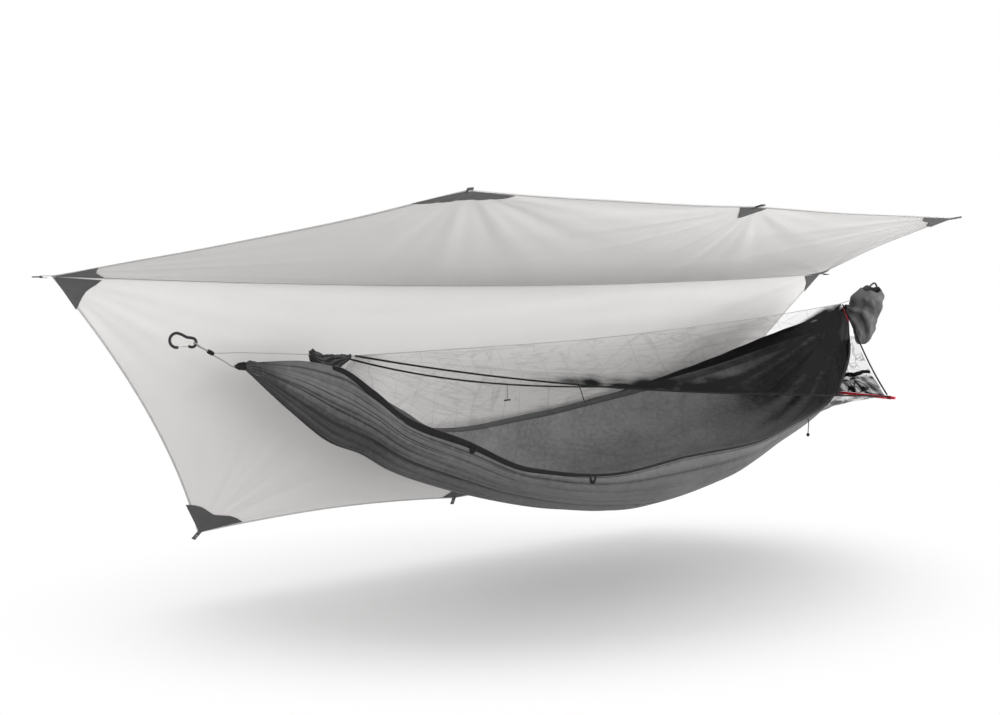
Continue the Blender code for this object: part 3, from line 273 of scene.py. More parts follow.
def seam(side, t):
    """Side seam: a straight line with a parabolic bulge and a skewed parabolic sag."""
    t = np.asarray(t, float)
    bulge, sag, skew, top = (0.04, 0.037, -0.91, 0.071) if side < 0 else (0.12, 0.061, -0.69, 0.081)
    arch = 4 * t * (1 - t)
    y = mix(0.025, CORNER[1], t) + bulge * arch
    z = -mix(top, -CORNER[2], t) - sag * arch * (1 + skew * (t - 0.5))
    return join(mix(SEAM_START, CORNER[0], t), side * y, z)


def seam_run(side, t):
    """A short chord of the seam, which gives its direction."""
    return seam(side, t + 0.03) - seam(side, t - 0.03)


def roof(side, t, v):
    """Net roof: straight from the ridgeline (v = 0) to the seam (v = 1), drawn in towards the head
    end, with slack folds that run along it and fade at its edges."""
    t, v = np.broadcast_arrays(t, v)
    top, low = ridge(mix(NET_START, APEX_X, t)), seam(side, t)
    down = low - top
    start = top + square_to(down, np.array((1.0, 0, 0))) * RIDGELINE_GAP
    stop = low - square_to(down, seam_run(side, t)) * SEAM_GAP
    point = mix(start, stop, v[..., None])
    slack = 0.06 * sin(pi * v) * t ** 4
    point[..., 1] *= 1 - slack
    out = unit(np.cross(down, (1.0, 0, 0)) * side)
    width = np.minimum(np.linalg.norm(down, axis=-1) * 0.03, 0.007)
    fold = sin(24 * t + 5 * v + 2 * sin(9 * t)) + 0.6 * sin(47 * t - 7 * v + 1) + 0.5 * sin(11 * v + 6 * t)
    return point + out * (width * fold * sin(pi * v) * 0.5)[..., None]


def edge(side, v):
    """Head-end edge of the net, from the apex (v = 0) to the rod's corner, drawn in between."""
    v = np.asarray(v, float)
    point = mix(ridge(APEX_X), seam(side, 1.0), v[..., None])
    point[..., 1] *= 1 - 0.06 * sin(pi * v)
    return point


def wall(side, t, v):
    """Net wall: from a side seam (v = 0) to the hem (v = 1), with folds that hang between them."""
    t, v = np.broadcast_arrays(t, v)
    s = mix(WALL_FROM, WALL_TO if side < 0 else FAR_WALL_TO, t)
    top, low = seam(side, t), hem(side, s)
    start = top + square_to(low - top, seam_run(side, t)) * SEAM_GAP
    across = hull(s, side * 0.999) - low
    run = hem(side, s + 0.004) - hem(side, s - 0.004)
    up = square_to(top - low, run)
    out = unit(np.cross(across, run)) * side
    below = np.maximum(0, (up * unit(across)).sum(-1, keepdims=True))
    stop = low + unit(up + out * 2 * below) * HEM_GAP
    point = mix(start, stop, v[..., None])
    height = np.linalg.norm(top - low, axis=-1)
    face = unit(np.cross(low - top, run)) * side
    fold = sin(30 * t - 6 * v) + 0.7 * sin(61 * t + 4 * v + 2) + 0.5 * sin(13 * t + 9 * v)
    return point - face * (np.minimum(height * 0.022, 0.005) * fold * sin(pi * v) * 0.6)[..., None]


def skirt(s, u):
    """Places 2 mm outside the hull, where the head-end nets are sewn."""
    return hull(s, u, 0.002)


def floor_net(w, v):
    """Net under the head end: from a slanted line round the hull (v = 0) to the spreader rod."""
    w, v = np.broadcast_arrays(w, v)
    s = mix(WALL_TO, FAR_WALL_TO, ease(2 * w - 0.5))
    top = skirt(s, w * 0.985)
    low = join(ROD[0] - 0.0063, 0.30 * w, ROD[1])
    point = mix(top, low, v[..., None])
    fold = sin(17 * w + 3 * v) + 0.6 * sin(38 * w - 4 * v + 1)
    point[..., 2] += 0.004 * fold * sin(pi * v)
    return point


def end_net(w, v):
    """Net across the head end: from under the gathered hull (v = 0) to the rod, crumpled below."""
    w, v = np.broadcast_arrays(w, v)
    under = skirt(BAND_TO, np.clip(w * 1.1, -1, 1) * 0.985)
    reach = ease((np.abs(w) - 0.9) / 0.1)[..., None]
    side = np.where(w < 0, -1, 1)
    share = np.clip((0.028 - under[..., 2]) / 0.346, 0, 1)
    border = edge(1, share) * join(1, side, 1)
    inward = join(0, -side * 0.006, 0)
    high = mix(under, border + inward, reach)
    low = join(ROD[0] + 0.002, 0.318 * w, ROD[1] + 0.006)
    point = mix(high, low, v[..., None])
    point[..., 1] *= 1 - 0.06 * sin(pi * v)
    crumple = sin(23 * w + 11 * v) * sin(9 * v + 3) + 0.7 * sin(41 * w - 17 * v)
    point[..., 0] += 0.006 * crumple * sin(pi * v)
    return point


# Shapes of the tarp

def pitch(side, a):
    """Slope of a panel in radians; the far one twists along its length."""
    return np.radians(11.6) + 0 * a if side < 0 else np.radians(-63.25 - 3.25 * a)


def ridge_height(a):
    """Height of the tarp's ridge: a parabolic sag on a line that falls towards the head."""
    return TARP_HEIGHT - 0.0085 * (a + 1) - RIDGE_SAG * (1 - a * a)


def half_length(b):
    """Half a panel's length, which narrows from the ridge, with a parabolic scallop."""
    return mix(RIDGE_LENGTH, SIDE_LENGTH, b) / 2 - 0.053 * 4 * b * (1 - b)


def inner(side, a):
    """Direction from a panel to the hammock's side of it."""
    turn = pitch(side, a)
    return join(0, side * sin(turn), -cos(turn))


def tarp(side, a, b, lift=0.0):
    """Tarp panel: a runs from foot (-1) to head (1), b from the ridge (0) to the outer edge (1). Its ends
    and outer edge are scalloped, it sags as a parabola, and wrinkles fan out from its five tie-outs
    as sines of the angle about each, fading with distance. lift moves it to the hammock's side."""
    a, b = np.broadcast_arrays(np.asarray(a, float), np.asarray(b, float))
    run = np.abs(a)
    width = (1.0 - 0.02 * 4 * run * (1 - run) * b ** 3) * b
    turn = pitch(side, a)
    x = TARP_MIDDLE[0] + a * half_length(b)
    y = TARP_MIDDLE[1] + side * (0.0068 + width * cos(turn))
    droop = RIDGE_SAG * b + (0.034 if side > 0 else 0.0) * b * b
    z = ridge_height(a) + droop * (1 - a * a) + width * sin(turn)
    dip = (0.05 if side < 0 else 0.03) * 4 * b * (1 - b) * (1 - a * a) + lift
    flat_x, flat_y = a * half_length(b), b
    edge_fade = np.clip(b / 0.03, 0, 1)
    for ax, ay, count, size in TIE_OUTS:
        dx, dy = flat_x - ax, flat_y - ay
        r = np.hypot(dx, dy)
        fade = r * r / (r * r + 0.04) * np.exp(-r / 0.5) * 1.12
        angle = np.arctan2(dy, dx)
        rays = sin(count * angle + ax) + 0.5 * sin(2.3 * count * angle + ay)
        dip = dip + size * edge_fade * fade * rays
    dip = dip + 0.0012 * edge_fade * sin(70 * b + 3 * sin(4 * a)) * np.exp(-b / 0.16) * (1 - a * a)
    dip = dip + 0.0016 * edge_fade * sin(7 * a + 5 * b + 2 * sin(5 * b)) * sin(8 * b + 3 * a)
    return join(x, y, z) + dip[..., None] * inner(side, a)


def tarp_place(side, x, w, lift=0.0):
    """Panel point under a given x at a given length w from the ridge, going straight on past its edge."""
    w_in = np.clip(w, 0, 1.0)
    a = np.clip((x - TARP_MIDDLE[0]) / half_length(w_in), -1, 1)
    base = tarp(side, a, w_in, lift)
    turn = pitch(side, a)
    over = w - w_in
    return join(x, base[..., 1] + side * over * cos(turn), base[..., 2] + over * sin(turn))


# Turning arrays into pieces

def quads(rows, cols, wrap_rows, wrap_cols):
    """Faces of a grid of points and, for each of their corners, its place on the unrolled grid."""
    i = np.arange(rows if wrap_rows else rows - 1)[:, None]
    j = np.arange(cols if wrap_cols else cols - 1)[None, :]
    i, j = (m.ravel() for m in np.broadcast_arrays(i, j))
    row = join(i, i, i + 1, i + 1)
    col = join(j, j + 1, j + 1, j)
    return (row % rows) * cols + col % cols, row, col


def piece(name, points, look, node=None, body="hammock", wrap=(False, False), caps=False,
          thickness=0.0, gather=None, flip=False):
    """Mesh of a grid of points, with a UV map in metres, that rides on a body and stands for a node.
    Closed shapes have their doubles merged and their normals turned outwards. gather, from 0 to 1 at each
    point, says how tightly a net is drawn together, and on cloth how dark the painted shade makes its colour."""
    points = np.asarray(points, float)
    rows, cols = points.shape[:2]
    faces, row, col = quads(rows, cols, *wrap)
    along = run_lengths(points[:, cols // 2], wrap[0])
    across = run_lengths(points[rows // 2], wrap[1])
    uv = join(along[row], across[col]).reshape(-1, 2)
    if flip:
        faces, uv = faces[:, ::-1], uv.reshape(-1, 4, 2)[:, ::-1].reshape(-1, 2)
    polygons = faces.tolist()
    if caps:
        polygons += [list(range(cols)), list(range((rows - 1) * cols, rows * cols))]
        uv = np.concatenate([uv, np.zeros((2 * cols, 2))])
    mesh = bpy.data.meshes.new(name)
    mesh.from_pydata(points.reshape(-1, 3).tolist(), [], polygons)
    layer = mesh.uv_layers.new(name="UVMap")
    layer.data.foreach_set("uv", uv.astype(np.float32).ravel())
    if gather is not None:
        drawn = mesh.attributes.new("gather", "FLOAT", "POINT")
        drawn.data.foreach_set("value", np.broadcast_to(gather, (rows, cols)).astype(np.float32).ravel())
    closed = caps or all(wrap) or (any(wrap) and not thickness)
    if closed:
        work = bmesh.new()
        work.from_mesh(mesh)
        bmesh.ops.remove_doubles(work, verts=work.verts, dist=1e-5)
        bmesh.ops.recalc_face_normals(work, faces=work.faces)
        work.to_mesh(mesh)
        work.free()
    mesh.shade_smooth()
    if closed:
        mesh.set_sharp_from_angle(angle=np.radians(50))
    made = bpy.data.objects.new(name, mesh)
    bpy.context.scene.collection.objects.link(made)
    mesh.materials.append(finish(look))
    if thickness:
        solid = made.modifiers.new("Cloth", "SOLIDIFY")
        solid.thickness = thickness
        solid.offset = 0.0
    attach(made, body)
    if node:
        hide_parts(node)
    return made


def tube(path, radius, sides=14, up=(0, 0, 1)):
    """Rings of a round cord along a path: centre + radius (cos a side + sin a top)."""
    path = np.asarray(path, float)
    ahead = unit(np.gradient(path, axis=0))
    side = unit(np.cross(ahead, np.asarray(up, float)))
    top = np.cross(side, ahead)
    a = angles(sides)[None, :, None]
    radius = np.broadcast_to(np.asarray(radius, float), (len(path),))[:, None, None]
    return path[:, None] + radius * (cos(a) * side[:, None] + sin(a) * top[:, None])


def strand(name, path, radius, look, node=None, body="hammock", sides=14, up=(0, 0, 1)):
    """Piece of round cord with closed ends."""
    return piece(name, tube(path, radius, sides, up), look, node, body, ROUND, True)


def hoop(path, radius, sides, up):
    """Rings of a round cord along a closed path."""
    return tube(np.concatenate([path[-2:], path, path[:2]]), radius, sides, up)[2:-2]


def ribbon(path, across, width):
    """Flat tape along a path: two edges, half a width each side."""
    path, across = np.asarray(path, float), np.asarray(across, float)
    shares = np.linspace(-0.5, 0.5, 5)[None, :, None]
    return path[:, None] + across[:, None] * shares * np.reshape(width, (-1, 1, 1))


def turned(profile, origin, direction, sides=32):
    """Rings turned about a line from a profile of (along, radius)."""
    profile = np.asarray(profile, float)
    line = unit(direction)
    other = unit(np.cross(line, (0, 1, 0) if abs(line[1]) < 0.9 else (1, 0, 0)))
    third = np.cross(line, other)
    a = angles(sides)[None, :, None]
    ring = cos(a) * other + sin(a) * third
    return np.asarray(origin) + profile[:, :1, None] * line + profile[:, 1:, None] * ring


# Finishes

def add_node(tree, kind, inputs=None, **settings):
    """A shader node with its settings, its constants and the sockets that feed it."""
    node = tree.nodes.new("ShaderNode" + kind)
    for key, value in settings.items():
        setattr(node, key, value)
    for key, value in (inputs or {}).items():
        if isinstance(value, bpy.types.NodeSocket):
            tree.links.new(value, node.inputs[key])
        else:
            node.inputs[key].default_value = value
    return node


def maths(tree, operation, a, b=0.0, c=0.0):
    """Result of one sum on sockets and numbers."""
    return add_node(tree, "Math", {0: a, 1: b, 2: c}, operation=operation).outputs[0]


def start_finish(name, roughness, metallic=0.0, **sockets):
    """New material, its node tree, its shader and the place on the object."""
    made = bpy.data.materials.new(name)
    made.use_nodes = True
    shader = made.node_tree.nodes["Principled BSDF"]
    shader.inputs["Roughness"].default_value = roughness
    shader.inputs["Metallic"].default_value = metallic
    for key, value in sockets.items():
        shader.inputs[key.replace("_", " ").title().replace("Ior", "IOR")].default_value = value
    return made, made.node_tree, shader, add_node(made.node_tree, "TexCoord").outputs["Object"]


def noise(tree, vector, scale, detail=3.0, roughness=0.5):
    """Soft noise from 0 to 1."""
    inputs = {"Vector": vector, "Scale": scale, "Detail": detail, "Roughness": roughness}
    return add_node(tree, "TexNoise", inputs).outputs["Fac"]


def shade(tree, shader, color, amount, factor):
    """Base colour between a darker and a lighter shade of one colour."""
    dark = [c * (1 - amount) for c in color] + [1.0]
    light = [min(1.0, c * (1 + amount)) for c in color] + [1.0]
    inputs = {"Factor": factor, 6: dark, 7: light}
    mixed = add_node(tree, "Mix", inputs, data_type="RGBA")
    tree.links.new(mixed.outputs[2], shader.inputs["Base Color"])


def bump(tree, shader, height, distance):
    """Relief of a given depth in metres."""
    node = add_node(tree, "Bump", {"Height": height, "Distance": distance})
    tree.links.new(node.outputs["Normal"], shader.inputs["Normal"])


def uv_axes(tree):
    """The UV map, and its two axes in metres."""
    source = add_node(tree, "UVMap").outputs["UV"]
    parts = add_node(tree, "SeparateXYZ", {0: source})
    return source, parts.outputs["X"], parts.outputs["Y"]


def ripple(tree, axis, pitch_m):
    """Sine along one axis of the UV map, 0 to 1, with a given pitch in metres."""
    wave = maths(tree, "SINE", maths(tree, "MULTIPLY", axis, TAU / pitch_m))
    return maths(tree, "MULTIPLY_ADD", wave, 0.5, 0.5)


def threads(tree, axes, spacing, sharp):
    """Two crossing sets of threads: the larger of both axes' ripples, raised to a power."""
    sets = [maths(tree, "POWER", ripple(tree, axis, spacing), sharp) for axis in axes]
    return maths(tree, "MAXIMUM", *sets)


def cloth_finish(name, color, roughness=0.7, grid=0.006, crease=0.0012, vary=0.07, folds=0.0):
    """Ripstop cloth: fine plain weave, a square grid of thicker threads, soft creases, and painted shade:
    with folds set, the colour darkens by the gather attribute, deep in the folds where the cloth is drawn
    together."""
    weave, relief = 0.0012, 0.0002
    made, tree, shader, place = start_finish(name, roughness, sheen_weight=0.08, sheen_roughness=0.5,
                                             specular_ior_level=0.3)
    _, along, across = uv_axes(tree)
    patches = noise(tree, place, 5.0, 4.0)
    fine = noise(tree, place, 60.0, 2.0)
    tone = maths(tree, "MULTIPLY_ADD", fine, 0.4, maths(tree, "MULTIPLY", patches, 0.6))
    if folds:
        # Painted shade: the gather attribute darkens the base colour, and folds sets how far.
        drawn = add_node(tree, "Attribute", attribute_name="gather").outputs["Fac"]
        tone = maths(tree, "SUBTRACT", tone, drawn)
        vary = folds
    shade(tree, shader, color, vary, tone)
    plain = maths(tree, "MULTIPLY", ripple(tree, along, weave), ripple(tree, across, weave))
    lines = threads(tree, (along, across), grid, 24.0)
    soft = maths(tree, "MULTIPLY", noise(tree, place, 14.0, 5.0, 0.55), crease / relief)
    woven = maths(tree, "MULTIPLY_ADD", plain, 0.3, maths(tree, "MULTIPLY", lines, 0.5))
    bump(tree, shader, maths(tree, "ADD", woven, soft), relief)
    return made


def mesh_finish(name, color, cover=0.035, crumple=0.12, lines=(0.8, 5.5), sharp=60.0):
    """Bug mesh: thin threads round open cells. Its cover varies in soft streaks, and it is denser
    along fine creases and where it is drawn together, which towards the head end is partly painted shade."""
    hole = 0.0016
    made, tree, shader, place = start_finish(name, 0.8, specular_ior_level=0.08)
    source, along, across = uv_axes(tree)
    shade(tree, shader, color, 0.15, noise(tree, place, 30.0))
    streak_place = add_node(tree, "Mapping", {"Vector": source, "Scale": (1.6, 9.0, 1.0)}).outputs[0]
    streaks = noise(tree, streak_place, 3.0, 4.0, 0.6)
    cover_now = maths(tree, "MULTIPLY_ADD", streaks, cover / 0.35, cover / 0.35 * 0.5)
    open_mesh = maths(tree, "MULTIPLY", threads(tree, (along, across), hole, 8.0), cover_now)
    drawn = add_node(tree, "Attribute", attribute_name="gather").outputs["Fac"]
    creases = None
    for scale, turn in ((lines, 0.5), ((lines[1], lines[0]), -0.4), (lines, -0.9)):
        spot = add_node(tree, "Mapping", {"Vector": source, "Scale": (*scale, 1.0),
                                          "Rotation": (0.0, 0.0, turn)}).outputs[0]
        off = maths(tree, "ABSOLUTE", maths(tree, "SUBTRACT", noise(tree, spot, 2.0, 0.8, 0.5), 0.5))
        line = maths(tree, "MAXIMUM", maths(tree, "MULTIPLY_ADD", off, -sharp, 1.0), 0.0)
        creases = line if creases is None else maths(tree, "MAXIMUM", creases, line)
    # The gather attribute makes the mesh denser: drawn-together mesh, and towards the head end partly painted
    # shade.
    folds = maths(tree, "MULTIPLY", drawn, maths(tree, "MULTIPLY_ADD", streaks, 1.9, -0.1))
    alpha = maths(tree, "ADD", maths(tree, "MULTIPLY_ADD", creases, crumple, open_mesh), folds)
    tree.links.new(add_node(tree, "Clamp", {"Value": alpha, "Min": 0.0, "Max": 1.0}).outputs[0],
                   shader.inputs["Alpha"])
    return made


def webbing_finish(name, color):
    """Woven tape: chevron ribs across it and soft wear, brighter along its ribs."""
    rib = 0.0016
    made, tree, shader, place = start_finish(name, 0.75, sheen_weight=0.02, specular_ior_level=0.2)
    _, along, across = uv_axes(tree)
    slant = maths(tree, "ADD", along, maths(tree, "PINGPONG", across, rib * 2))
    ribs = ripple(tree, slant, rib)
    worn = noise(tree, place, 120.0, 2.0)
    shade(tree, shader, color, 0.35, maths(tree, "MULTIPLY_ADD", ribs, 0.5,
                                           maths(tree, "MULTIPLY", worn, 0.5)))
    bump(tree, shader, ribs, 0.0002)
    return made


def cord_finish(name, color, radius):
    """Braided cord: two slanted sets of strands crossing round it."""
    made, tree, shader, _ = start_finish(name, 0.7, specular_ior_level=0.3)
    _, along, across = uv_axes(tree)
    step = radius * 1.2
    left = ripple(tree, maths(tree, "ADD", along, across), step)
    right = ripple(tree, maths(tree, "SUBTRACT", along, across), step)
    braid = maths(tree, "MAXIMUM", left, right)
    shade(tree, shader, color, 0.3, braid)
    bump(tree, shader, braid, radius * 0.12)
    return made


def metal_finish(name, color, roughness, metallic=1.0):
    """Finished metal: fine grain in the roughness, faint scratches and worn patches."""
    made, tree, shader, place = start_finish(name, roughness, metallic)
    worn = noise(tree, place, 260.0, 3.0)
    shade(tree, shader, color, 0.18, noise(tree, place, 40.0, 3.0))
    varied = maths(tree, "MULTIPLY_ADD", worn, 0.16, roughness - 0.08)
    tree.links.new(varied, shader.inputs["Roughness"])
    bump(tree, shader, worn, 0.00005)
    return made


def plastic_finish(name, color):
    """Moulded plastic: fine spark-eroded grain."""
    made, tree, shader, place = start_finish(name, 0.42, specular_ior_level=0.45)
    grain = noise(tree, place, 900.0, 2.0)
    shade(tree, shader, color, 0.12, noise(tree, place, 90.0))
    bump(tree, shader, grain, 0.00006)
    return made


# Finishes by key: what makes each, its material's name, its colour in the panel and its settings
# A folds setting paints shade: the cloth's colour darkens by its pieces' gather attribute.
MAKERS = {
    "tarp": (cloth_finish, "tarp_cloth", "tarp", dict(roughness=0.62, crease=0.0006, vary=0.03)),
    "shell": (cloth_finish, "shell_cloth", "shell", dict(roughness=0.62, crease=0.0010, folds=0.75)),
    "sack": (cloth_finish, "sack_cloth", "sack", dict(roughness=0.65, crease=0.0030, folds=0.62)),
    "patch": (cloth_finish, "patch_cloth", "patch",
              dict(roughness=0.7, grid=0.004, crease=0.0030, vary=0.3)),
    # Painted light: a copy of the shell cloth made twice as light for the inside of the hull.
    "lining": (cloth_finish, "lining_cloth", "lining", dict(roughness=0.62, crease=0.0010, folds=0.9)),
    "mesh": (mesh_finish, "bug_mesh", "mesh", {}),
    "crumpled": (mesh_finish, "crumpled_mesh", "mesh",
                 dict(cover=0.13, crumple=0.5, lines=(5.0, 9.0), sharp=50.0)),
    "bunched": (cloth_finish, "bunched_mesh", "bunch",
                dict(roughness=0.7, grid=0.003, crease=0.004, folds=0.8)),
    "black": (webbing_finish, "black_tape", "trim", {}),
    "webbing": (webbing_finish, "grey_webbing", "webbing", {}),
    "hem": (webbing_finish, "hem_binding", "binding", {}),
    "piping": (cord_finish, "hem_piping", "piping", dict(radius=0.001)),
    "cord": (cord_finish, "grey_cord", "cord", dict(radius=0.002)),
    "black_cord": (cord_finish, "black_cord", "trim", dict(radius=0.0015)),
    "anodised": (metal_finish, "dark_anodised", "metal", dict(roughness=0.38, metallic=0.85)),
    "wire": (metal_finish, "gate_wire", "wire", dict(roughness=0.3)),
    "rod": (metal_finish, "red_anodised", "rod", dict(roughness=0.32, metallic=0.35)),
    "tape": (webbing_finish, "red_tape", "tape", {}),
    "sleeve": (webbing_finish, "rod_sleeve", "sleeve", {}),
    "plastic": (plastic_finish, "moulded_black", "plastic", {}),
}
FINISHES = {}


def finish(key):
    """One finish of each kind, made when it is first asked for, with the panel's colours."""
    if key not in FINISHES:
        maker, name, color, settings = MAKERS[key]
        colors = bpy.context.scene.hammock_tent_colors
        FINISHES[key] = maker(name, getattr(colors, color), **settings)
    return FINISHES[key]


def repaint(node, name):
    """Gives a solid that keeps its shape its finer finish."""
    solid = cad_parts[node]
    for slot in solid.material_slots:
        slot.material = finish(name)


# Settings

def color_setting(name, value, words):
    """One colour of the panel."""
    return bpy.props.FloatVectorProperty(name=name, description=words, subtype="COLOR", size=3,
                                         min=0.0, max=1.0, default=value)


def length_setting(name, value, lowest, words):
    """One length of the panel, in metres."""
    return bpy.props.FloatProperty(name=name, description=words, default=value, min=lowest, unit="LENGTH")


class HammockTentColors(bpy.types.PropertyGroup):
    """Colours of the cloths, cords and metalwork."""
    tarp: color_setting("Tarp", (.70, .686, .677), "Pale cloth of the tarp")
    shell: color_setting("Shell", (.105, .105, .106), "Grey cloth of the hammock")
    sack: color_setting("Sack", (.085, .085, .087), "Cloth of the stuff sack")
    patch: color_setting("Patches", (.078, .077, .077), "Doubled cloth of the tie-outs")
    # Painted light: the inside of the hull is twice as light as the shell, standing in for light that falls
    # into it.
    lining: color_setting("Lining", (.215, .215, .217), "Inside of the hammock cloth")
    mesh: color_setting("Mesh", (.008, .008, .008), "Threads of the bug mesh")
    bunch: color_setting("Bunch", (.055, .055, .056), "Mesh gathered on the ridgeline")
    trim: color_setting("Trim", (.006, .006, .0065), "Black tapes, piping and cords")
    piping: color_setting("Piping", (.05, .05, .05), "Thin piping along the hems")
    webbing: color_setting("Webbing", (.10, .10, .10), "Grey webbing of the tarp")
    binding: color_setting("Binding", (.50, .49, .485), "Folded binding along the tarp's edges")
    cord: color_setting("Cord", (.25, .25, .25), "Grey suspension cord")
    metal: color_setting("Carabiners", (.03, .03, .033), "Dark anodised metal")
    wire: color_setting("Wire", (.55, .56, .58), "Bright wire of gates and rings")
    rod: color_setting("Rod", (.62, .012, .035), "Red anodised spreader rod")
    tape: color_setting("Tape", (.20, .006, .015), "Red marker tape")
    sleeve: color_setting("Rod sleeve", (.72, .07, .095), "Thin red cloth round the ends of the rod")
    plastic: color_setting("Plastic", (.02, .02, .02), "Toggles and cord lock")


class HammockTentSizes(bpy.types.PropertyGroup):
    """Thicknesses and small sizes of the dressed pieces."""
    cloth: length_setting("Cloth", 0.0008, 0.0001, "Thickness that the cloth is shown with")
    binding: length_setting("Binding", 0.007, 0.002, "Width of the tarp's folded binding")
    rod: length_setting("Rod length", float(np.subtract(*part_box("spreader_rod")[::-1])[1]), 0.1,
                        "Length of the spreader rod")
    floor: length_setting("Floor", -0.95, -100.0, "Height of the studio floor under the origin")


# Operators

class StageOperator(bpy.types.Operator):
    """Camera at the photograph's angle, pale floor, soft light"""
    bl_idname = "hammock_tent.stage"
    bl_label = "Stage"

    def execute(self, context):
        scene = context.scene
        lens = bpy.data.cameras.new("camera")
        lens.sensor_width = 36.0
        lens.lens = 43.38
        lens.clip_end = 200.0
        camera = bpy.data.objects.new("camera", lens)
        camera.location = (-1.31, -3.01, 0.205)
        camera.rotation_euler = (np.radians(85.4), 0.0, np.radians(-38.8))
        scene.collection.objects.link(camera)
        scene.camera = camera
        scene.view_settings.view_transform = "Standard"
        world = bpy.data.worlds.new("studio")
        scene.world = world
        world.use_nodes = True
        tree = world.node_tree
        back = tree.nodes["Background"]
        path = add_node(tree, "LightPath")
        seen = maths(tree, "MAXIMUM", path.outputs["Is Camera Ray"], path.outputs["Is Glossy Ray"])
        seen = maths(tree, "MAXIMUM", seen, path.outputs["Is Transmission Ray"])
        glow = 0.78
        strength = maths(tree, "MULTIPLY_ADD", seen, 1.0 - glow, glow)
        back.inputs["Color"].default_value = (1, 1, 1, 1)
        tree.links.new(strength, back.inputs["Strength"])
        lamps = (("key", (5.2, -3.0, -0.2), 3.0, 145.0), ("front", (0.4, -5.4, -0.2), 3.4, 205.0),
                 ("top", (1.3, 0.4, 4.8), 4.5, 35.0), ("back", (1.5, 4.5, 1.5), 3.5, 20.0))
        for name, place, size, power in lamps:
            light = bpy.data.lights.new(name, "AREA")
            light.size = size
            light.energy = power
            lamp = bpy.data.objects.new(name, light)
            lamp.location = place
            aim = np.array((1.6, 0.1, -0.1)) - np.array(place)
            tilt = np.arctan2(np.hypot(aim[0], aim[1]), -aim[2])
            lamp.rotation_euler = (tilt, 0.0, np.arctan2(aim[1], aim[0]) - pi / 2)
            scene.collection.objects.link(lamp)
        self.floor(scene)
        return {"FINISHED"}

    def floor(self, scene):
        """Flat square that keeps soft shadows near the object and turns white away from it."""
        height = scene.hammock_tent_sizes.floor
        mesh = bpy.data.meshes.new("floor")
        reach = 30.0
        mesh.from_pydata([(-reach, -reach, height), (reach, -reach, height), (reach, reach, height),
                          (-reach, reach, height)], [], [(0, 1, 2, 3)])
        ground = bpy.data.objects.new("floor", mesh)
        scene.collection.objects.link(ground)
        made = bpy.data.materials.new("pale_floor")
        made.use_nodes = True
        tree = made.node_tree
        shader = tree.nodes["Principled BSDF"]
        shader.inputs["Roughness"].default_value = 0.9
        shader.inputs["Specular IOR Level"].default_value = 0.1
        path = add_node(tree, "LightPath").outputs["Is Camera Ray"]
        tone = add_node(tree, "Mix", {"Factor": path, 6: (.70, .70, .70, 1), 7: (.93, .93, .93, 1)},
                        data_type="RGBA")
        tree.links.new(tone.outputs[2], shader.inputs["Base Color"])
        place = add_node(tree, "TexCoord").outputs["Object"]
        oval = add_node(tree, "Mapping", {"Vector": place, "Location": (1.5, 0.2, height),
                                          "Rotation": (0.0, 0.0, np.radians(-27.6)),
                                          "Scale": (1.55, 0.98, 1.0)}, vector_type="TEXTURE").outputs[0]
        far = add_node(tree, "VectorMath", {0: oval}, operation="LENGTH").outputs["Value"]
        ramp = add_node(tree, "MapRange", {"Value": far, "From Min": 0.58, "From Max": 1.28},
                        interpolation_type="SMOOTHSTEP")
        white = add_node(tree, "Emission", {"Color": (1, 1, 1, 1), "Strength": 1.0})
        blend = add_node(tree, "MixShader", {0: maths(tree, "MULTIPLY", ramp.outputs[0], path),
                                             1: shader.outputs[0], 2: white.outputs[0]})
        tree.links.new(blend.outputs[0], tree.nodes["Material Output"].inputs["Surface"])
        mesh.materials.append(made)


class TiesOperator(bpy.types.Operator):
    """Roll-up ties with their toggles, and the short tie at the head"""
    bl_idname = "hammock_tent.ties"
    bl_label = "Ties"

    def execute(self, context):
        barrel = ((-.014, 0), (-.014, .0016), (-.0134, .0024), (-.0115, .0031), (-.009, .0032),
                  (-.005, .0028), (-.0014, .0026), (-.0010, .0021), (.0010, .0021), (.0014, .0026),
                  (.005, .0028), (.009, .0032), (.0115, .0031), (.0134, .0024), (.014, .0016), (.014, 0))
        for name, route, look in (("near_toggle", NEAR_TIE, "black_cord"), ("far_toggle", FAR_TIE, "cord")):
            path = smooth_path(route, 24)
            cord = strand(name + "_tie", path, TIE_RADIUS, look, name + "_cord", up=(1, 0, 0))
            spot = np.array(route[-1]) - (0, 0, 0.0035)
            toggle = piece(name + "_barrel", turned(barrel, spot, (SPAN, 0, RISE), 28), "plastic",
                           name, wrap=ROUND)
        path = smooth_path(HEAD_TIE, 24)
        cord = strand("head_tie", path, TIE_RADIUS, "black_cord", "head_tie_cord", up=(1, 0, 0))
        a = np.linspace(0, pi, 22)
        lump = 0.0058 * sin(a) * (1 + 0.16 * sin(9 * a))
        knot = turned(join(-0.0068 * cos(a), np.maximum(lump, 0)),
                      np.array(HEAD_TIE[-1]) - (0, 0, .0073), (0, 0, 1), 28)
        knot = piece("head_knot", knot, "black_cord", "head_tie_knot", wrap=ROUND)
        return {"FINISHED"}


class TarpPanelsOperator(bpy.types.Operator):
    """The tarp's two cloth panels with their folded bindings"""
    bl_idname = "hammock_tent.tarp_panels"
    bl_label = "Tarp panels"

    def execute(self, context):
        sizes = context.scene.hammock_tent_sizes
        for side, name in SIDES:
            a, b = lattice((-1, 1, 300), (0, 1, 120))
            cloth = piece(f"tarp_{name}_cloth", tarp(side, a, b), "tarp", "tarp_panel_" + name,
                          body="tarp_" + name, thickness=sizes.cloth)
            run, inset = lattice((0, 1, 90), (0, 1, 4))
            inset = inset * sizes.binding
            short = 1 - inset / half_length(run)
            borders = [(place, tarp(side, end * short, run)) for end, place in ENDS]
            borders.append(("side", tarp(side, np.linspace(-1, 1, 160)[:, None], 1 - inset)))
            for place, border in borders:
                piece(f"tarp_{name}_{place}_binding", border, "hem", body="tarp_" + name,
                      thickness=0.0022)
        return {"FINISHED"}


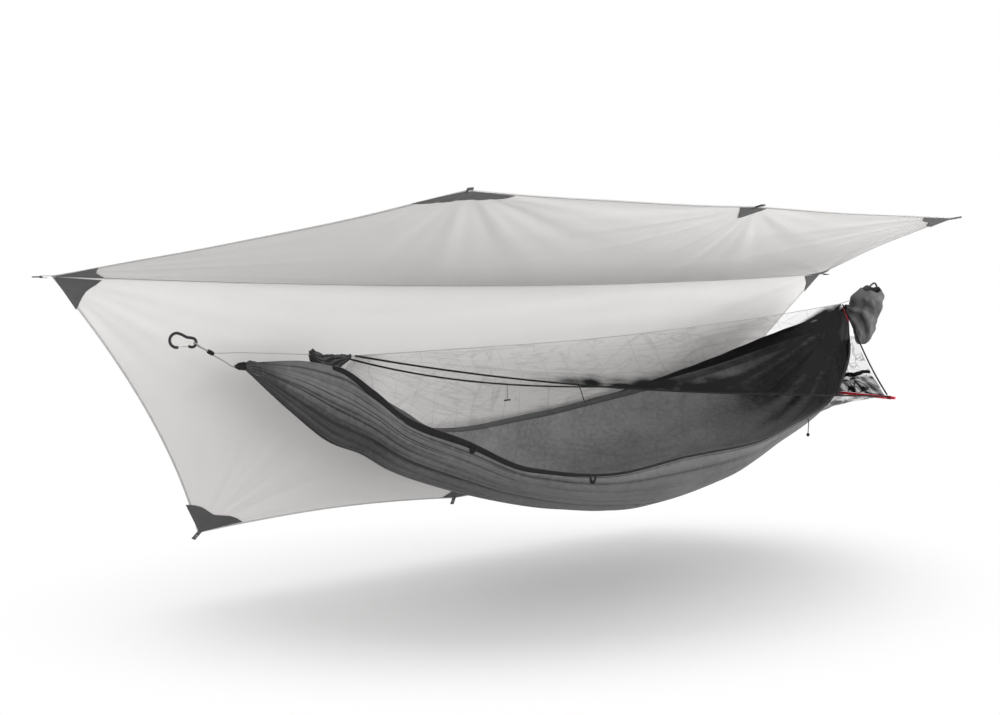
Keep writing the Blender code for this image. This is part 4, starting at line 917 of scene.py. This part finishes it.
class TarpSeamOperator(bpy.types.Operator):
    """Taped ridge seam with its stitching and end loops, and the two rings"""
    bl_idname = "hammock_tent.tarp_seam"
    bl_label = "Tarp seam"

    def execute(self, context):
        bend, reach = 0.0025, 0.028
        run = np.linspace(-1, 1, 200)
        line = join(TARP_MIDDLE[0] + run * RIDGE_LENGTH / 2, TARP_MIDDLE[1], ridge_height(run))
        hooks = []
        for end in (-1, 1):
            tip = line[0] if end < 0 else line[-1]
            bar = tip + (end * reach, 0, 0)
            turn = np.linspace(pi / 2, -pi / 2, 14)
            arc = bar + bend * join(end * cos(turn), 0, sin(turn) - 1)
            start = tip + np.linspace(0.2, 0.9, 4)[:, None] * (bar - tip)
            back = bar + np.array([(-end * reach * d, 0, -2 * bend) for d in (0.15, 0.35, 0.55)])
            hooks.append(np.concatenate([start, arc, back]))
        path = np.concatenate([hooks[0][::-1], line, hooks[1]])
        across = np.broadcast_to((0.0, 1.0, 0.0), path.shape)
        piece("ridge_tape", ribbon(path, across, 0.012), "webbing", "tarp_ridge_seam",
              body="tarp", thickness=0.0012)
        for side, name in SIDES:
            stitch = line + (0, side * 0.0045, -0.0007)
            strand("ridge_stitching_" + name, stitch, 0.0003, "black", body="tarp", sides=6)
        repaint("ridge_ring_foot", "anodised")
        repaint("ridge_ring_head", "anodised")
        return {"FINISHED"}


class TarpPatchesOperator(bpy.types.Operator):
    """Doubled corners and side points, each with its webbing loop and eyelet"""
    bl_idname = "hammock_tent.tarp_patches"
    bl_label = "Tarp patches"

    def fan(self, side, x, w, turns, reach, hollow):
        """Patch as a fan about a corner: its reach dips between its two arms as a sine. Without a hollow it
        is a triangle: 1 / reach is |cos| / half its base + |sin| / its height."""
        d, k = lattice((1, 0, 24), (0, 1, 40))
        turn = mix(turns[0], turns[1], k)
        edge_of = reach * (1 - hollow * sin(pi * k))
        if not hollow:
            edge_of = 1 / (np.abs(cos(turn)) / reach + np.abs(sin(turn)) / (1.15 * reach))
        far = mix(0.004, edge_of, d)
        return tarp_place(side, x + far * cos(turn), w + far * sin(turn), 0.0022)

    def execute(self, context):
        lean = np.arctan2(1.0, 0.625)
        gap = np.radians(2.0)
        for side, label in SIDES:
            spots = ((-1, "foot", .150, .50, (lean - pi + gap, -gap)),
                     (0, "side", .058, 0, (gap - pi, -gap)),
                     (1, "head", .140, .50, (gap - pi, -lean - gap)))
            for end, place, reach, hollow, turns in spots:
                x, w = TARP_MIDDLE[0] + end * 1.021, 0.996
                name = f"{label}_{place}"
                piece(name + "_patch", self.fan(side, x, w, turns, reach, hollow), "patch",
                      name + "_tie_out", body="tarp_" + label, thickness=0.0008)
                middle = sum(turns) / 2
                out = np.array((-cos(middle), -sin(middle)))
                self.loop(side, name, x, w, out)
            for end, place in ENDS:
                x = TARP_MIDDLE[0] + end * 1.644
                turns = (gap, lean - gap * 2) if end < 0 else (pi - gap, pi - lean + gap * 2)
                fan = self.fan(side, x, 0.002, turns, 0.13 if end < 0 else 0.10, 0.20)
                piece(f"ridge_{label}_{place}_patch", fan, "patch", f"ridge_patch_{label}_{place}",
                      body="tarp_" + label, thickness=0.0008)
        return {"FINISHED"}

    def under(self, side, x):
        """Direction to the hammock's side of a panel, at a given x."""
        return inner(side, np.clip((x - TARP_MIDDLE[0]) / (RIDGE_LENGTH / 2), -1, 1))

    def loop(self, side, name, x, w, out):
        """Webbing folded round an eyelet: out along a line, round a half circle and back under it."""
        body = "tarp_" + name.split("_")[0]
        length, width, bend = 0.030, 0.014, 0.0016
        share = np.concatenate([np.linspace(-0.35, 1, 22), np.linspace(1, -0.2, 18)])
        high = np.concatenate([np.full(22, 0.0004), np.full(18, 0.0036)])
        turn = np.linspace(-pi / 2, pi / 2, 9)[1:-1]
        share = np.insert(share, 22, 1 + bend * cos(turn) / 0.034)
        high = np.insert(high, 22, 0.0020 + bend * sin(turn))
        across = np.linspace(-0.5, 0.5, 5)[None, :] * width
        px = x + out[0] * share[:, None] * length - out[1] * across
        pw = w + out[1] * share[:, None] * length + out[0] * across
        rows = tarp_place(side, px, pw) + self.under(side, px) * high[:, None, None]
        piece(name + "_loop", rows, "webbing", body=body, thickness=0.0010)
        px, pw = np.array(x + out[0] * 0.016), np.array(w + out[1] * 0.016)
        spot = tarp_place(side, px, pw)
        face = self.under(side, px)
        a = angles(12)
        ring = join(0.0047 + 0.0008 * cos(a), 0.0009 * sin(a))[:, ::-1]
        grommet = turned(ring, spot + face * 0.0048, face, 24)
        piece(name + "_eyelet", grommet, "wire", body=body, wrap=RING)


class HullOperator(bpy.types.Operator):
    """The hammock's cloth, gathered at both ends, with its zip bands and hem piping"""
    bl_idname = "hammock_tent.hull"
    bl_label = "Hull"

    def execute(self, context):
        ends = np.linspace(-STUB, 0.1, 60)
        s = np.concatenate([ends, np.linspace(0.1, 0.9, 130)[1:-1], 1 - ends[::-1]])
        k = np.linspace(0, 1, 320)[None, :]
        u = 2 * k - 1 + 0 * s[:, None]
        # Painted shade on the shell's colour: darker deep in the crease valleys, over the foot end away from
        # the near hem, and right next to the foot gather.
        height, valley = hull_creases(s[:, None], u)
        depth = valley * np.clip(height / 0.0065, 0, 1) ** 0.6
        under = ease((u + 0.75) / 0.5) * ease((0.32 - s[:, None]) / 0.25) * 0.45
        bunched = ease((0.055 - s) / 0.05) * 0.5
        cloth = piece("shell", hull(s[:, None], u), "shell", "hammock_body",
                      gather=depth * 0.85 + under + bunched[:, None])
        s = np.linspace(WALL_FROM, BAND_TO, 200)
        near, far = (band_share(side, s) for side in (-1, 1))
        s, u = s[:, None], mix((-1 + near)[:, None], (1 - far)[:, None], k)
        # Painted shade on the inside of the hull: its colour darkens towards the head end, in rays.
        rays = ease(0.5 + 0.55 * sin(13 * u + 1.7 * sin(6 * u) + 2 * s))
        dark = ease((s - 0.76) / 0.20) * (0.15 + 0.60 * rays)
        trims = [piece("lining", hull(s, u, -0.0034), "lining", gather=dark, flip=True)]
        for side, name in SIDES:
            s = np.linspace(0.092 if side < 0 else WALL_FROM, BAND_TO, 240)
            width = band_share(side, s)[:, None] * np.linspace(0, 1, 6)[None, :]
            band = hull(s[:, None], side * (1 - width))
            look = "black" if side < 0 else "webbing"
            trims.append(piece(name + "_zip_flap", band, look, name + "_zip_band",
                               thickness=0.0016))
            line = hull(s, float(side), 0.0006)
            line[:, 2] += 0.0006
            trims.append(strand(name + "_hem_piping", line, 0.0010, "piping", sides=8))
        s = np.linspace(0.33, 0.84, 160)
        line = hull(s, -1 + 0.011 / hem_speed(-1, s), 0.0008)
        trims.append(strand("hem_stitching", line, 0.0008, "black_cord", sides=8))
        trims += [self.fold(-1, "near", 0.80, 0.016), self.fold(1, "far", 0.60, 0.058), self.frill()]
        return {"FINISHED"}

    def fold(self, side, name, start, height):
        """Zip flap that stands up from its hem near the head, drawn towards the ridgeline, with ruffles."""
        s, v = lattice((start, BAND_TO, 160), (0, 1, 12))
        low = hem(side, s)
        grow = ease((s - start) / (0.93 - start)) * height * (1 - 0.8 * ease((s - 0.935) / 0.03))
        lean = -side * 0.35
        ruck = 0.0022 * sin(150 * s + 4 * v) * v * ease((s - start) / 0.05)
        point = np.broadcast_to(low, (160, 12, 3)).copy()
        point[..., 1] += lean * grow * v + ruck
        point[..., 2] += grow * v + 0.0006
        return piece(name + "_zip_fold", point, "black", thickness=0.0010)

    def frill(self):
        """Cloth bunched behind the foot lashing: rings of a table's size, pleated as sines of the angle."""
        share, a = np.linspace(0, 1, 50)[:, None], angles(140)[None, :]
        size = table((0, .15, .45, .75, 1), (.0100, .0145, .0220, .0205, .0110), share)
        pleat = np.abs(sin(5.5 * a + 1.2 * sin(2 * a) + 2 * share)) - 0.5
        pleat = 0.75 * pleat + 0.25 * sin(17 * a - 5 * share)
        radius = size * (1 + 0.38 * pleat * ease(share * 2.2))
        drop = -0.022 * share ** 1.2
        point = join(0.056 * share, radius * cos(a), drop + radius * 0.9 * sin(a))
        # Painted shade: the cloth is painted darker overall, darkest in the pleats' valleys.
        return piece("foot_frill", point + FOOT - (0, 0, 0.009), "shell", wrap=ROUND,
                     gather=np.clip(0.7 - 0.9 * pleat, 0, 1))


class NetOperator(bpy.types.Operator):
    """Bug mesh: roofs, walls and the nets that close the head end"""
    bl_idname = "hammock_tent.net"
    bl_label = "Bug net"

    def execute(self, context):
        t, v = lattice((0, 0.997, 260), (0, 1, 110))
        foot = ease((0.06 - t) / 0.06) * 0.3
        wedge = ease((v - np.clip(1 - (t - 0.42) / 0.53, 0, 1)) / 0.07 + 0.5)
        wedge = wedge * ease((1.008 - 0.12 * v - t) / 0.02)
        turn = np.arctan2(0.35 * v, 2.2 * (1 - t) + 0.02)
        rays = 0.6 * sin(64 * turn + 2 * sin(15 * turn)) * sin(21 * turn + 1) * ease((0.95 - t) / 0.08)
        # The near roof doubles over in a wedge; the term that grows towards the head end thickens it further
        # as painted shade of the head end.
        doubled_and_shade = 0.30 + 0.75 * ease(0.5 + rays) + 0.6 * ease((t - 0.76) / 0.16)
        doubled_and_shade = wedge * (0.2 + 0.8 * ease((t - 0.42) / 0.30)) * doubled_and_shade
        ruffle = ease((v - 0.70) / 0.25) * ease((t - 0.22) / 0.20) * ease((0.72 - t) / 0.12)
        ruffle = ruffle * (1.15 + 0.5 * sin(95 * t + 9 * v) * sin(41 * t - 5 * v))
        for side, name in SIDES:
            drawn = foot + (doubled_and_shade + ruffle if side < 0 else ease((t - 0.8) / 0.2) * 0.1)
            self.net(name + "_roof_mesh", roof(side, t, v), "mesh", "net_roof_" + name, "ridgeline", drawn)
            points, drawn = wall(side, t, v), ease((t - 0.5) / 0.5) * 0.12 + foot
            self.net(name + "_wall_mesh", points, "mesh", "net_wall_" + name, name + "_seam", drawn)
        w, v = lattice((-1, 1, 110), (0, 1, 60))
        drawn = 0.25 + 0.2 * sin(23 * w - 8 * v)
        self.net("floor_mesh", floor_net(w, v), "crumpled", "net_floor", "spreader_rod", drawn)
        drawn = ease((v - 0.66) / 0.06) * (0.75 + 0.25 * sin(31 * w + 19 * v))
        self.net("end_mesh", end_net(w, v), "crumpled", "net_end_panel", "spreader_rod", drawn)
        return {"FINISHED"}

    def net(self, name, points, look, node, holder, gather):
        """Piece of mesh with its gather. It reads its faces' areas, which nothing uses."""
        made = piece(name, points, look, node, gather=gather)
        mesh = made.data
        areas = np.empty(len(mesh.polygons))
        mesh.polygons.foreach_get("area", areas)


class PipingOperator(bpy.types.Operator):
    """Black piping along the seams and the head-end edges, the slack band and the marker tape"""
    bl_idname = "hammock_tent.piping"
    bl_label = "Piping"

    def execute(self, context):
        for side, name in SIDES:
            path = seam(side, np.linspace(0, 1, 160))
            strand(name + "_piping", path, PIPING_RADIUS, "black", name + "_seam", sides=12)
            path = edge(side, np.linspace(0.014, 0.983, 60))
            strand(name + "_edge_piping", path, PIPING_RADIUS, "black", name + "_edge_binding",
                   sides=12, up=(1, 0, 0))
        w = np.linspace(-0.995, 0.995, 120)
        v = 0.60 + 0.09 * cos(pi * w / 2) + 0.008 * sin(17 * w)
        line = end_net(w, v) + (0.0026, 0, -0.001)
        down = end_net(w, v + 0.02) - end_net(w, v - 0.02)
        piece("slack_band", ribbon(line, unit(down), 0.018 + 0.003 * sin(9 * w)), "black",
              "end_band", thickness=0.0015)
        v, d = lattice((0.04, 0.2, 12), (0, 0.007, 4))
        tape = roof(-1, 1 - (0.006 + d) / 2.212, v) + (0, -0.0009, 0.0009)
        piece("marker_tape", tape, "tape", "head_marker", thickness=0.0010)
        return {"FINISHED"}


class RodOperator(bpy.types.Operator):
    """Spreader rod with its end caps, and the two sewn pockets"""
    bl_idname = "hammock_tent.rod"
    bl_label = "Spreader rod"

    def execute(self, context):
        half = context.scene.hammock_tent_sizes.rod / 2
        end = ((0.0, 0.0), (0.0, .0036), (.0003, .0046), (.0012, .0052), (.012, .0052), (.0125, .0050),
               (.0129, .0050), (.0134, .0052), (.0139, .0055))
        left = [(-half + along, radius) for along, radius in end]
        right = [(half - along, radius) for along, radius in end[::-1]]
        piece("red_rod", turned(left + right, (ROD[0], 0, ROD[1]), (0, 1, 0), 32), "rod",
              "spreader_rod", body="rod", wrap=ROUND)
        for side, name in SIDES:
            along = np.linspace(-0.007, 0.007, 30)
            ruck = 0.0070 - 0.0004 * cos(along * 1500) ** 2
            self.sock(name + "_pocket", "tape", "rod_pocket_" + name, along, ruck, 0.0059, side * 0.34, 1)
            along = np.linspace(0, 0.080, 40)
            ruck = 0.0068 + 0.0004 * sin(along * 420) * sin(along * 130)
            self.sock(name + "_rod_sleeve", "sleeve", None, along, ruck, 0.0060, side * 0.3325, -side)
        return {"FINISHED"}

    def sock(self, name, look, node, along, radius, bore, start, way):
        """Cloth tube round the rod, with its ruched outside and its bore: along runs from start, up Y where
        way is 1 and down it where way is -1."""
        inside = join(along[::-1], bore)
        profile = np.concatenate([join(along, radius), inside])
        rings = turned(profile, (ROD[0], start, ROD[1]), (0, way, 0), 28)
        piece(name, rings, look, node, wrap=RING)


class SuspensionOperator(bpy.types.Operator):
    """Carabiners, gates, cord loops, sleeves, whippings and the ridgeline"""
    bl_idname = "hammock_tent.suspension"
    bl_label = "Suspension"

    def clip(self, u, v):
        """Carabiner's plane: u along it from its outer tip, v across, turned by its tilt."""
        u = np.asarray(u, float) - 0.0078
        v = np.asarray(v, float)
        return join(u * cos(TILT) + v * sin(TILT), 0 * u, v * cos(TILT) - u * sin(TILT))

    def execute(self, context):
        big_u, big_radius, small_u, small_v, small_radius = 0.0229, 0.019, 0.0661, 0.007, 0.012
        big = np.radians(-60) - np.linspace(0, np.radians(210), 60)
        small = np.linspace(pi / 2, -pi / 2, 40)
        spine = np.linspace(big_u, small_u, 24)[1:-1]
        dip = 0.0026 * np.exp(-((spine - 0.047) / 0.010) ** 2)
        u = [big_u + big_radius * cos(big), spine, small_u + small_radius * cos(small), [0.0601]]
        v = [big_radius * sin(big), big_radius - dip, small_v + small_radius * sin(small), [-0.005]]
        body = self.clip(np.concatenate(u), np.concatenate(v))
        hinge, nose = self.clip(0.0588, -0.005), self.clip(0.03353, -0.0158)
        bar = self.clip(0.0781, small_v)
        pull = unit(self.clip(small_u, small_v) - SLEEVE)
        over = np.array((-pull[2], 0.0, pull[0]))
        over = over * np.sign(over[2])
        face = SLEEVE - pull * 0.0203
        for sign, end in ENDS:
            place = np.asarray if end == "foot" else at_head
            aim = np.array((-sign, 1, 1))
            strand(end + "_clip", place(body), CLIP_RADIUS, "anodised", end + "_carabiner",
                   sides=24, up=(0, 1, 0))
            self.gate(end, place(hinge), place(nose))
            self.loop(end, place, bar, pull)
            self.sleeve(end, place(SLEEVE - pull * 0.01), pull * aim)
            start = face - over * 0.003
            stop = LASHING - (0.024, 0, 0)
            bits = [start, start - pull * 0.002]
            bits += [mix(bits[1], stop - (0.01, 0, 0), d) for d in (0.35, 0.7, 1.0)] + [stop]
            path = place(smooth_path(bits, 40))
            strand(end + "_suspension", path, CORD_RADIUS, "cord", end + "_body_cord")
            self.whipping(end, place(LASHING), (-1, 0, 0) * aim)
        first = face + over * 0.003
        off = first - pull * 0.002
        middle = ridge(np.linspace(off[0], SPAN_OVERALL - off[0], 42)[1:-1])
        route = np.concatenate([[first, off], middle, [at_head(off), at_head(first)]])
        run = run_lengths(route)
        fine = np.linspace(0, run[-1], 260)
        route = np.stack([np.interp(fine, run, route[:, k]) for k in range(3)], -1)
        strand("ridge_cord", route, RIDGELINE_RADIUS, "cord", "ridgeline", sides=10)
        return {"FINISHED"}

    def gate(self, end, hinge, nose):
        """Wire gate: one closed loop of wire, a racetrack between the rod's two end faces."""
        line = unit(nose - hinge)
        length = np.linalg.norm(nose - hinge)
        a = np.linspace(-pi / 2, pi / 2, 10)
        half = 0.0021
        u = np.concatenate([half + length - 2 * half + half * cos(a), half - half * cos(a)])
        y = np.concatenate([half * sin(a), -half * sin(a)])
        path = hinge + u[:, None] * line + y[:, None] * np.array((0, 1.0, 0))
        piece(end + "_wire_gate", hoop(path, 0.0009, 12, np.cross(line, (0, 1, 0))), "wire",
              end + "_gate", body=end + "_gate", wrap=RING)

    def loop(self, end, place, bar, pull):
        """Two strands from the sleeve, round the small bow's rod and back."""
        side = np.array((0.0, 1.0, 0.0))
        wrap, pinch = 0.0062, 0.0023
        gap = np.linalg.norm(bar - SLEEVE)
        d = np.linspace(0, 0.75, 10)[:, None]
        out = SLEEVE + pull * mix(0.0003, gap - wrap / 2, d) + side * mix(pinch, wrap, d ** 1.5)
        a = np.linspace(0, pi, 24)[:, None]
        turn = bar + wrap * (side * cos(a) + pull * sin(a))
        path = np.concatenate([out, turn, (out * (1, -1, 1))[::-1]])
        strand(end + "_loop", place(path), CORD_RADIUS, "cord", end + "_cord_loop",
               up=np.cross(pull, side))

    def sleeve(self, end, middle, pull):
        """Heat-shrunk cover: a slim barrel with soft ends and faint ridges."""
        x = np.linspace(-0.01, 0.01, 40)
        radius = 0.006 * np.sqrt(1 - np.abs(x / 0.01) ** 5 * 0.55) - 0.00012 * cos(x * 4000)
        profile = np.concatenate([[(-0.01, 0)], join(x, radius), [(0.01, 0)]])
        piece(end + "_cover", turned(profile, middle, pull, 28), "black", end + "_sleeve",
              wrap=ROUND)

    def whipping(self, end, origin, out):
        """Lashing round the gather: turns of cord as half circles along it, and a drawn-in nose."""
        along = np.linspace(0.0004, 0.0200, 120)
        turns = 0.0112 - 0.12 * along + 0.0009 * np.abs(sin(along / 0.0200 * pi * 9))
        outside = join(along, turns)
        nose = [(0.0212, 0.0082), (0.0240, 0.0062), (0.0275, 0.0048), (0.0302, 0.0042), (0.0302, 0.0026)]
        inside = [(0.0202, 0.0026), (0.0202, 0.0080), (0.0004, 0.0104)]
        profile = np.concatenate([outside, nose, inside])
        piece(end + "_lashing", turned(profile, origin, out, 40), "black_cord", end + "_whipping",
              wrap=RING)


class TrimOperator(bpy.types.Operator):
    """Net bunch at the foot, webbing loops under the hem and the zip slider"""
    bl_idname = "hammock_tent.trim"
    bl_label = "Trim"

    def execute(self, context):
        share, a = np.linspace(0, 1, 110)[:, None], angles(120)[None, :]
        size = table((0, .03, .08, .2, .32, .5, .72, .88, 1), (.40, .80, .98, .9, .72, .9, .8, .55, .30),
                     share)
        valley = np.abs(sin(4.5 * a + 6 * share + 1.1 * sin(2 * a - 7 * share))) - 0.6
        folds = 1 + 0.42 * valley + 0.10 * sin(11 * a + 13 * share) + 0.07 * sin(19 * a - 27 * share)
        radius = 0.0185 * size * folds
        middle = ridge(0.415 + 0.135 * share[:, 0])[:, None]
        ring = join(0, cos(a), sin(a)) * radius[..., None]
        drop = np.array((0, 0, -0.016)) * (sin(pi * share) ** 0.8)[..., None]
        outside = middle + ring + drop
        bore = 0.0023 * join(0, cos(a), sin(a))
        # Painted shade: the outside darkens in its folds' valleys, and the bore is painted fully dark.
        gather = np.concatenate([np.clip(0.5 - 1.4 * valley, 0, 1), np.ones_like(valley)])
        piece("net_bunch", np.concatenate([outside, (middle + bore)[::-1]]), "bunched", "foot_bunch",
              wrap=RING, gather=gather)
        for name, s, gap in (("near_hem_loop_foot", 0.239, 0.2), ("near_hem_loop_head", 0.371, 0.55)):
            self.hem_loop(name, s, gap)
        repaint("zip_slider", "anodised")
        return {"FINISHED"}

    def hem_loop(self, name, s, gap):
        """Webbing V under the hem: two edges that narrow to a rounded tip."""
        share = np.array([-1, -.85, -.35, .35, .85, 1])
        depth = np.array([0, .4, .9, .9, .4, 0])
        inside = np.array([0, .3, .55, .55, .3, 0])
        reach = np.array([-gap, -gap * .7, -gap * .2, gap * .2, gap * .7, gap])
        spot = hull(s, -1 + 0.0045 / hem_speed(-1, s))
        ahead = unit(hem(-1, s + 0.02) - hem(-1, s - 0.02))
        low = hull(s, -1 + 0.02 / hem_speed(-1, s))
        down = square_to(low - spot, ahead)
        out = np.cross(ahead, down)
        out = out * np.sign(-out[1])
        start = spot + out * 0.0012
        edges = [smooth_path(start + ahead * (along * 0.013)[:, None] + down * (drop * 0.028)[:, None], 40)
                 for along, drop in ((share, depth), (reach, inside))]
        rows = mix(edges[0][:, None], edges[1][:, None], np.linspace(0, 1, 4)[None, :, None])
        piece(name + "_strap", rows, "black", name, thickness=0.0015)


class SackOperator(bpy.types.Operator):
    """Stuff sack with its folds and open mouth, its drawcord and its cord lock"""
    bl_idname = "hammock_tent.sack"
    bl_label = "Stuff sack"

    def execute(self, context):
        share, a = np.linspace(0, 1, 110)[:, None], angles(200)[None, :]
        outside, valley = self.cloth(share, a, 0.0)
        inside, _ = self.cloth(np.maximum(share[::-1], 0.012), a, 0.0014)
        base = np.repeat(outside[:1].mean(1, keepdims=True), 200, axis=1)
        top = np.repeat(inside[-1:].mean(1, keepdims=True), 200, axis=1)
        # Painted shade: the outside darkens in its folds' valleys, and the inside and the top cap are painted
        # almost fully dark.
        gather = np.concatenate([valley[:1], valley, np.full_like(valley, 0.95), np.ones((1, 200))])
        piece("sack", np.concatenate([base, outside, inside, top]), "sack", "stuff_sack",
              body="sack", wrap=ROUND, gather=gather)
        high = float(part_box("sack_drawcord")[1][2]) - 0.0012
        middle = np.array((3.003, -0.0092, high - 0.024))
        turn = angles(80)
        path = middle + 0.024 * join(0, cos(turn), sin(turn))
        piece("sack_cord", hoop(path, 0.0012, 12, (1, 0, 0)), "black_cord", "sack_drawcord",
              body="sack", wrap=RING)
        repaint("cord_lock", "plastic")
        repaint("cord_lock_button", "plastic")
        return {"FINISHED"}

    def cloth(self, share, a, inset):
        """Sack: ellipses whose size follows a table, which lean with height and end in a mouth that dips.
        A neck bulges out towards the ridgeline's end, and folds fan out from it, as sines of the angle
        about it. Returns the points and how deep each lies in a fold, which sets the painted shade there."""
        size = table((0, .04, .15, .4, .65, .85, 1), (.30, .48, .68, .88, .989, .995, .78), share)
        full = sin(pi * np.clip(share, 0, 1)) ** 0.5
        turn = (a - 2.5 + pi) % TAU - pi
        away, high = turn * 0.056, (share - 0.66) * 0.230
        bulge = 0.0285 * np.exp(-(turn / 0.62) ** 4 - (high / 0.066) ** 4)
        r = np.hypot(away + 0.03, high)
        angle = np.arctan2(high, away + 0.03)
        fan = np.abs(sin(3.1 * angle + 1.3 * sin(2 * angle + 1) + 16 * r)) - 0.6
        crumple = sin(4 * a + 9 * share + 1.5 * sin(7 * share)) * sin(15 * share + 2 * a)
        small = sin(9 * angle - 45 * r + 2 * crumple) + 0.3 * sin(8 * a - 17 * share)
        shrink = ease(r / 0.03) * np.where(cos(a - pi / 2) > 0.75, 0.25, 1.0)
        wave = full * shrink * (0.0110 * fan + 0.0050 * crumple + 0.0019 * small) + bulge
        wide, deep = 0.0660 * size + wave - inset, 0.0425 * size + wave - inset
        x = SACK[0] + 0.032 * (share - 0.5) * 2 + wide * cos(a)
        lip = (0.004 * sin(5 * a + 1) - 0.011 * cos(a - 4.4)) * np.clip(share, 0, 1) ** 7
        z = -0.138 + 0.226 * share + lip
        return join(x, SACK[1] + deep * sin(a), z), np.clip(0.45 - 1.3 * fan, 0, 1) * shrink


class HammockTentPanel(bpy.types.Panel):
    """Buttons for each group of pieces, with their colours and sizes"""
    bl_idname = "VIEW3D_PT_hammock_tent"
    bl_label = "Hammock Tent"
    bl_space_type = "VIEW_3D"
    bl_region_type = "UI"
    bl_category = "Hammock Tent"

    def draw(self, context):
        for maker in OPERATORS:
            self.layout.operator(maker.bl_idname)
        for group in (context.scene.hammock_tent_colors, context.scene.hammock_tent_sizes):
            for key in group.__annotations__:
                self.layout.prop(group, key)


OPERATORS = (StageOperator, TiesOperator, TarpPanelsOperator, TarpSeamOperator, TarpPatchesOperator,
             HullOperator, NetOperator, PipingOperator, RodOperator, SuspensionOperator, TrimOperator,
             SackOperator)
CLASSES = (HammockTentColors, HammockTentSizes) + OPERATORS + (HammockTentPanel,)


def register():
    for cls in CLASSES:
        bpy.utils.register_class(cls)
    bpy.types.Scene.hammock_tent_colors = bpy.props.PointerProperty(type=HammockTentColors)
    bpy.types.Scene.hammock_tent_sizes = bpy.props.PointerProperty(type=HammockTentSizes)


def unregister():
    del bpy.types.Scene.hammock_tent_colors
    del bpy.types.Scene.hammock_tent_sizes
    for cls in reversed(CLASSES):
        bpy.utils.unregister_class(cls)


def main():
    register()
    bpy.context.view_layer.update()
    make = bpy.ops.hammock_tent
    make.stage()
    make.ties()
    make.tarp_panels()
    make.tarp_seam()
    make.tarp_patches()
    make.hull()
    make.net()
    make.piping()
    make.rod()
    make.suspension()
    make.trim()
    make.sack()


if __name__ == "__main__":
    main()
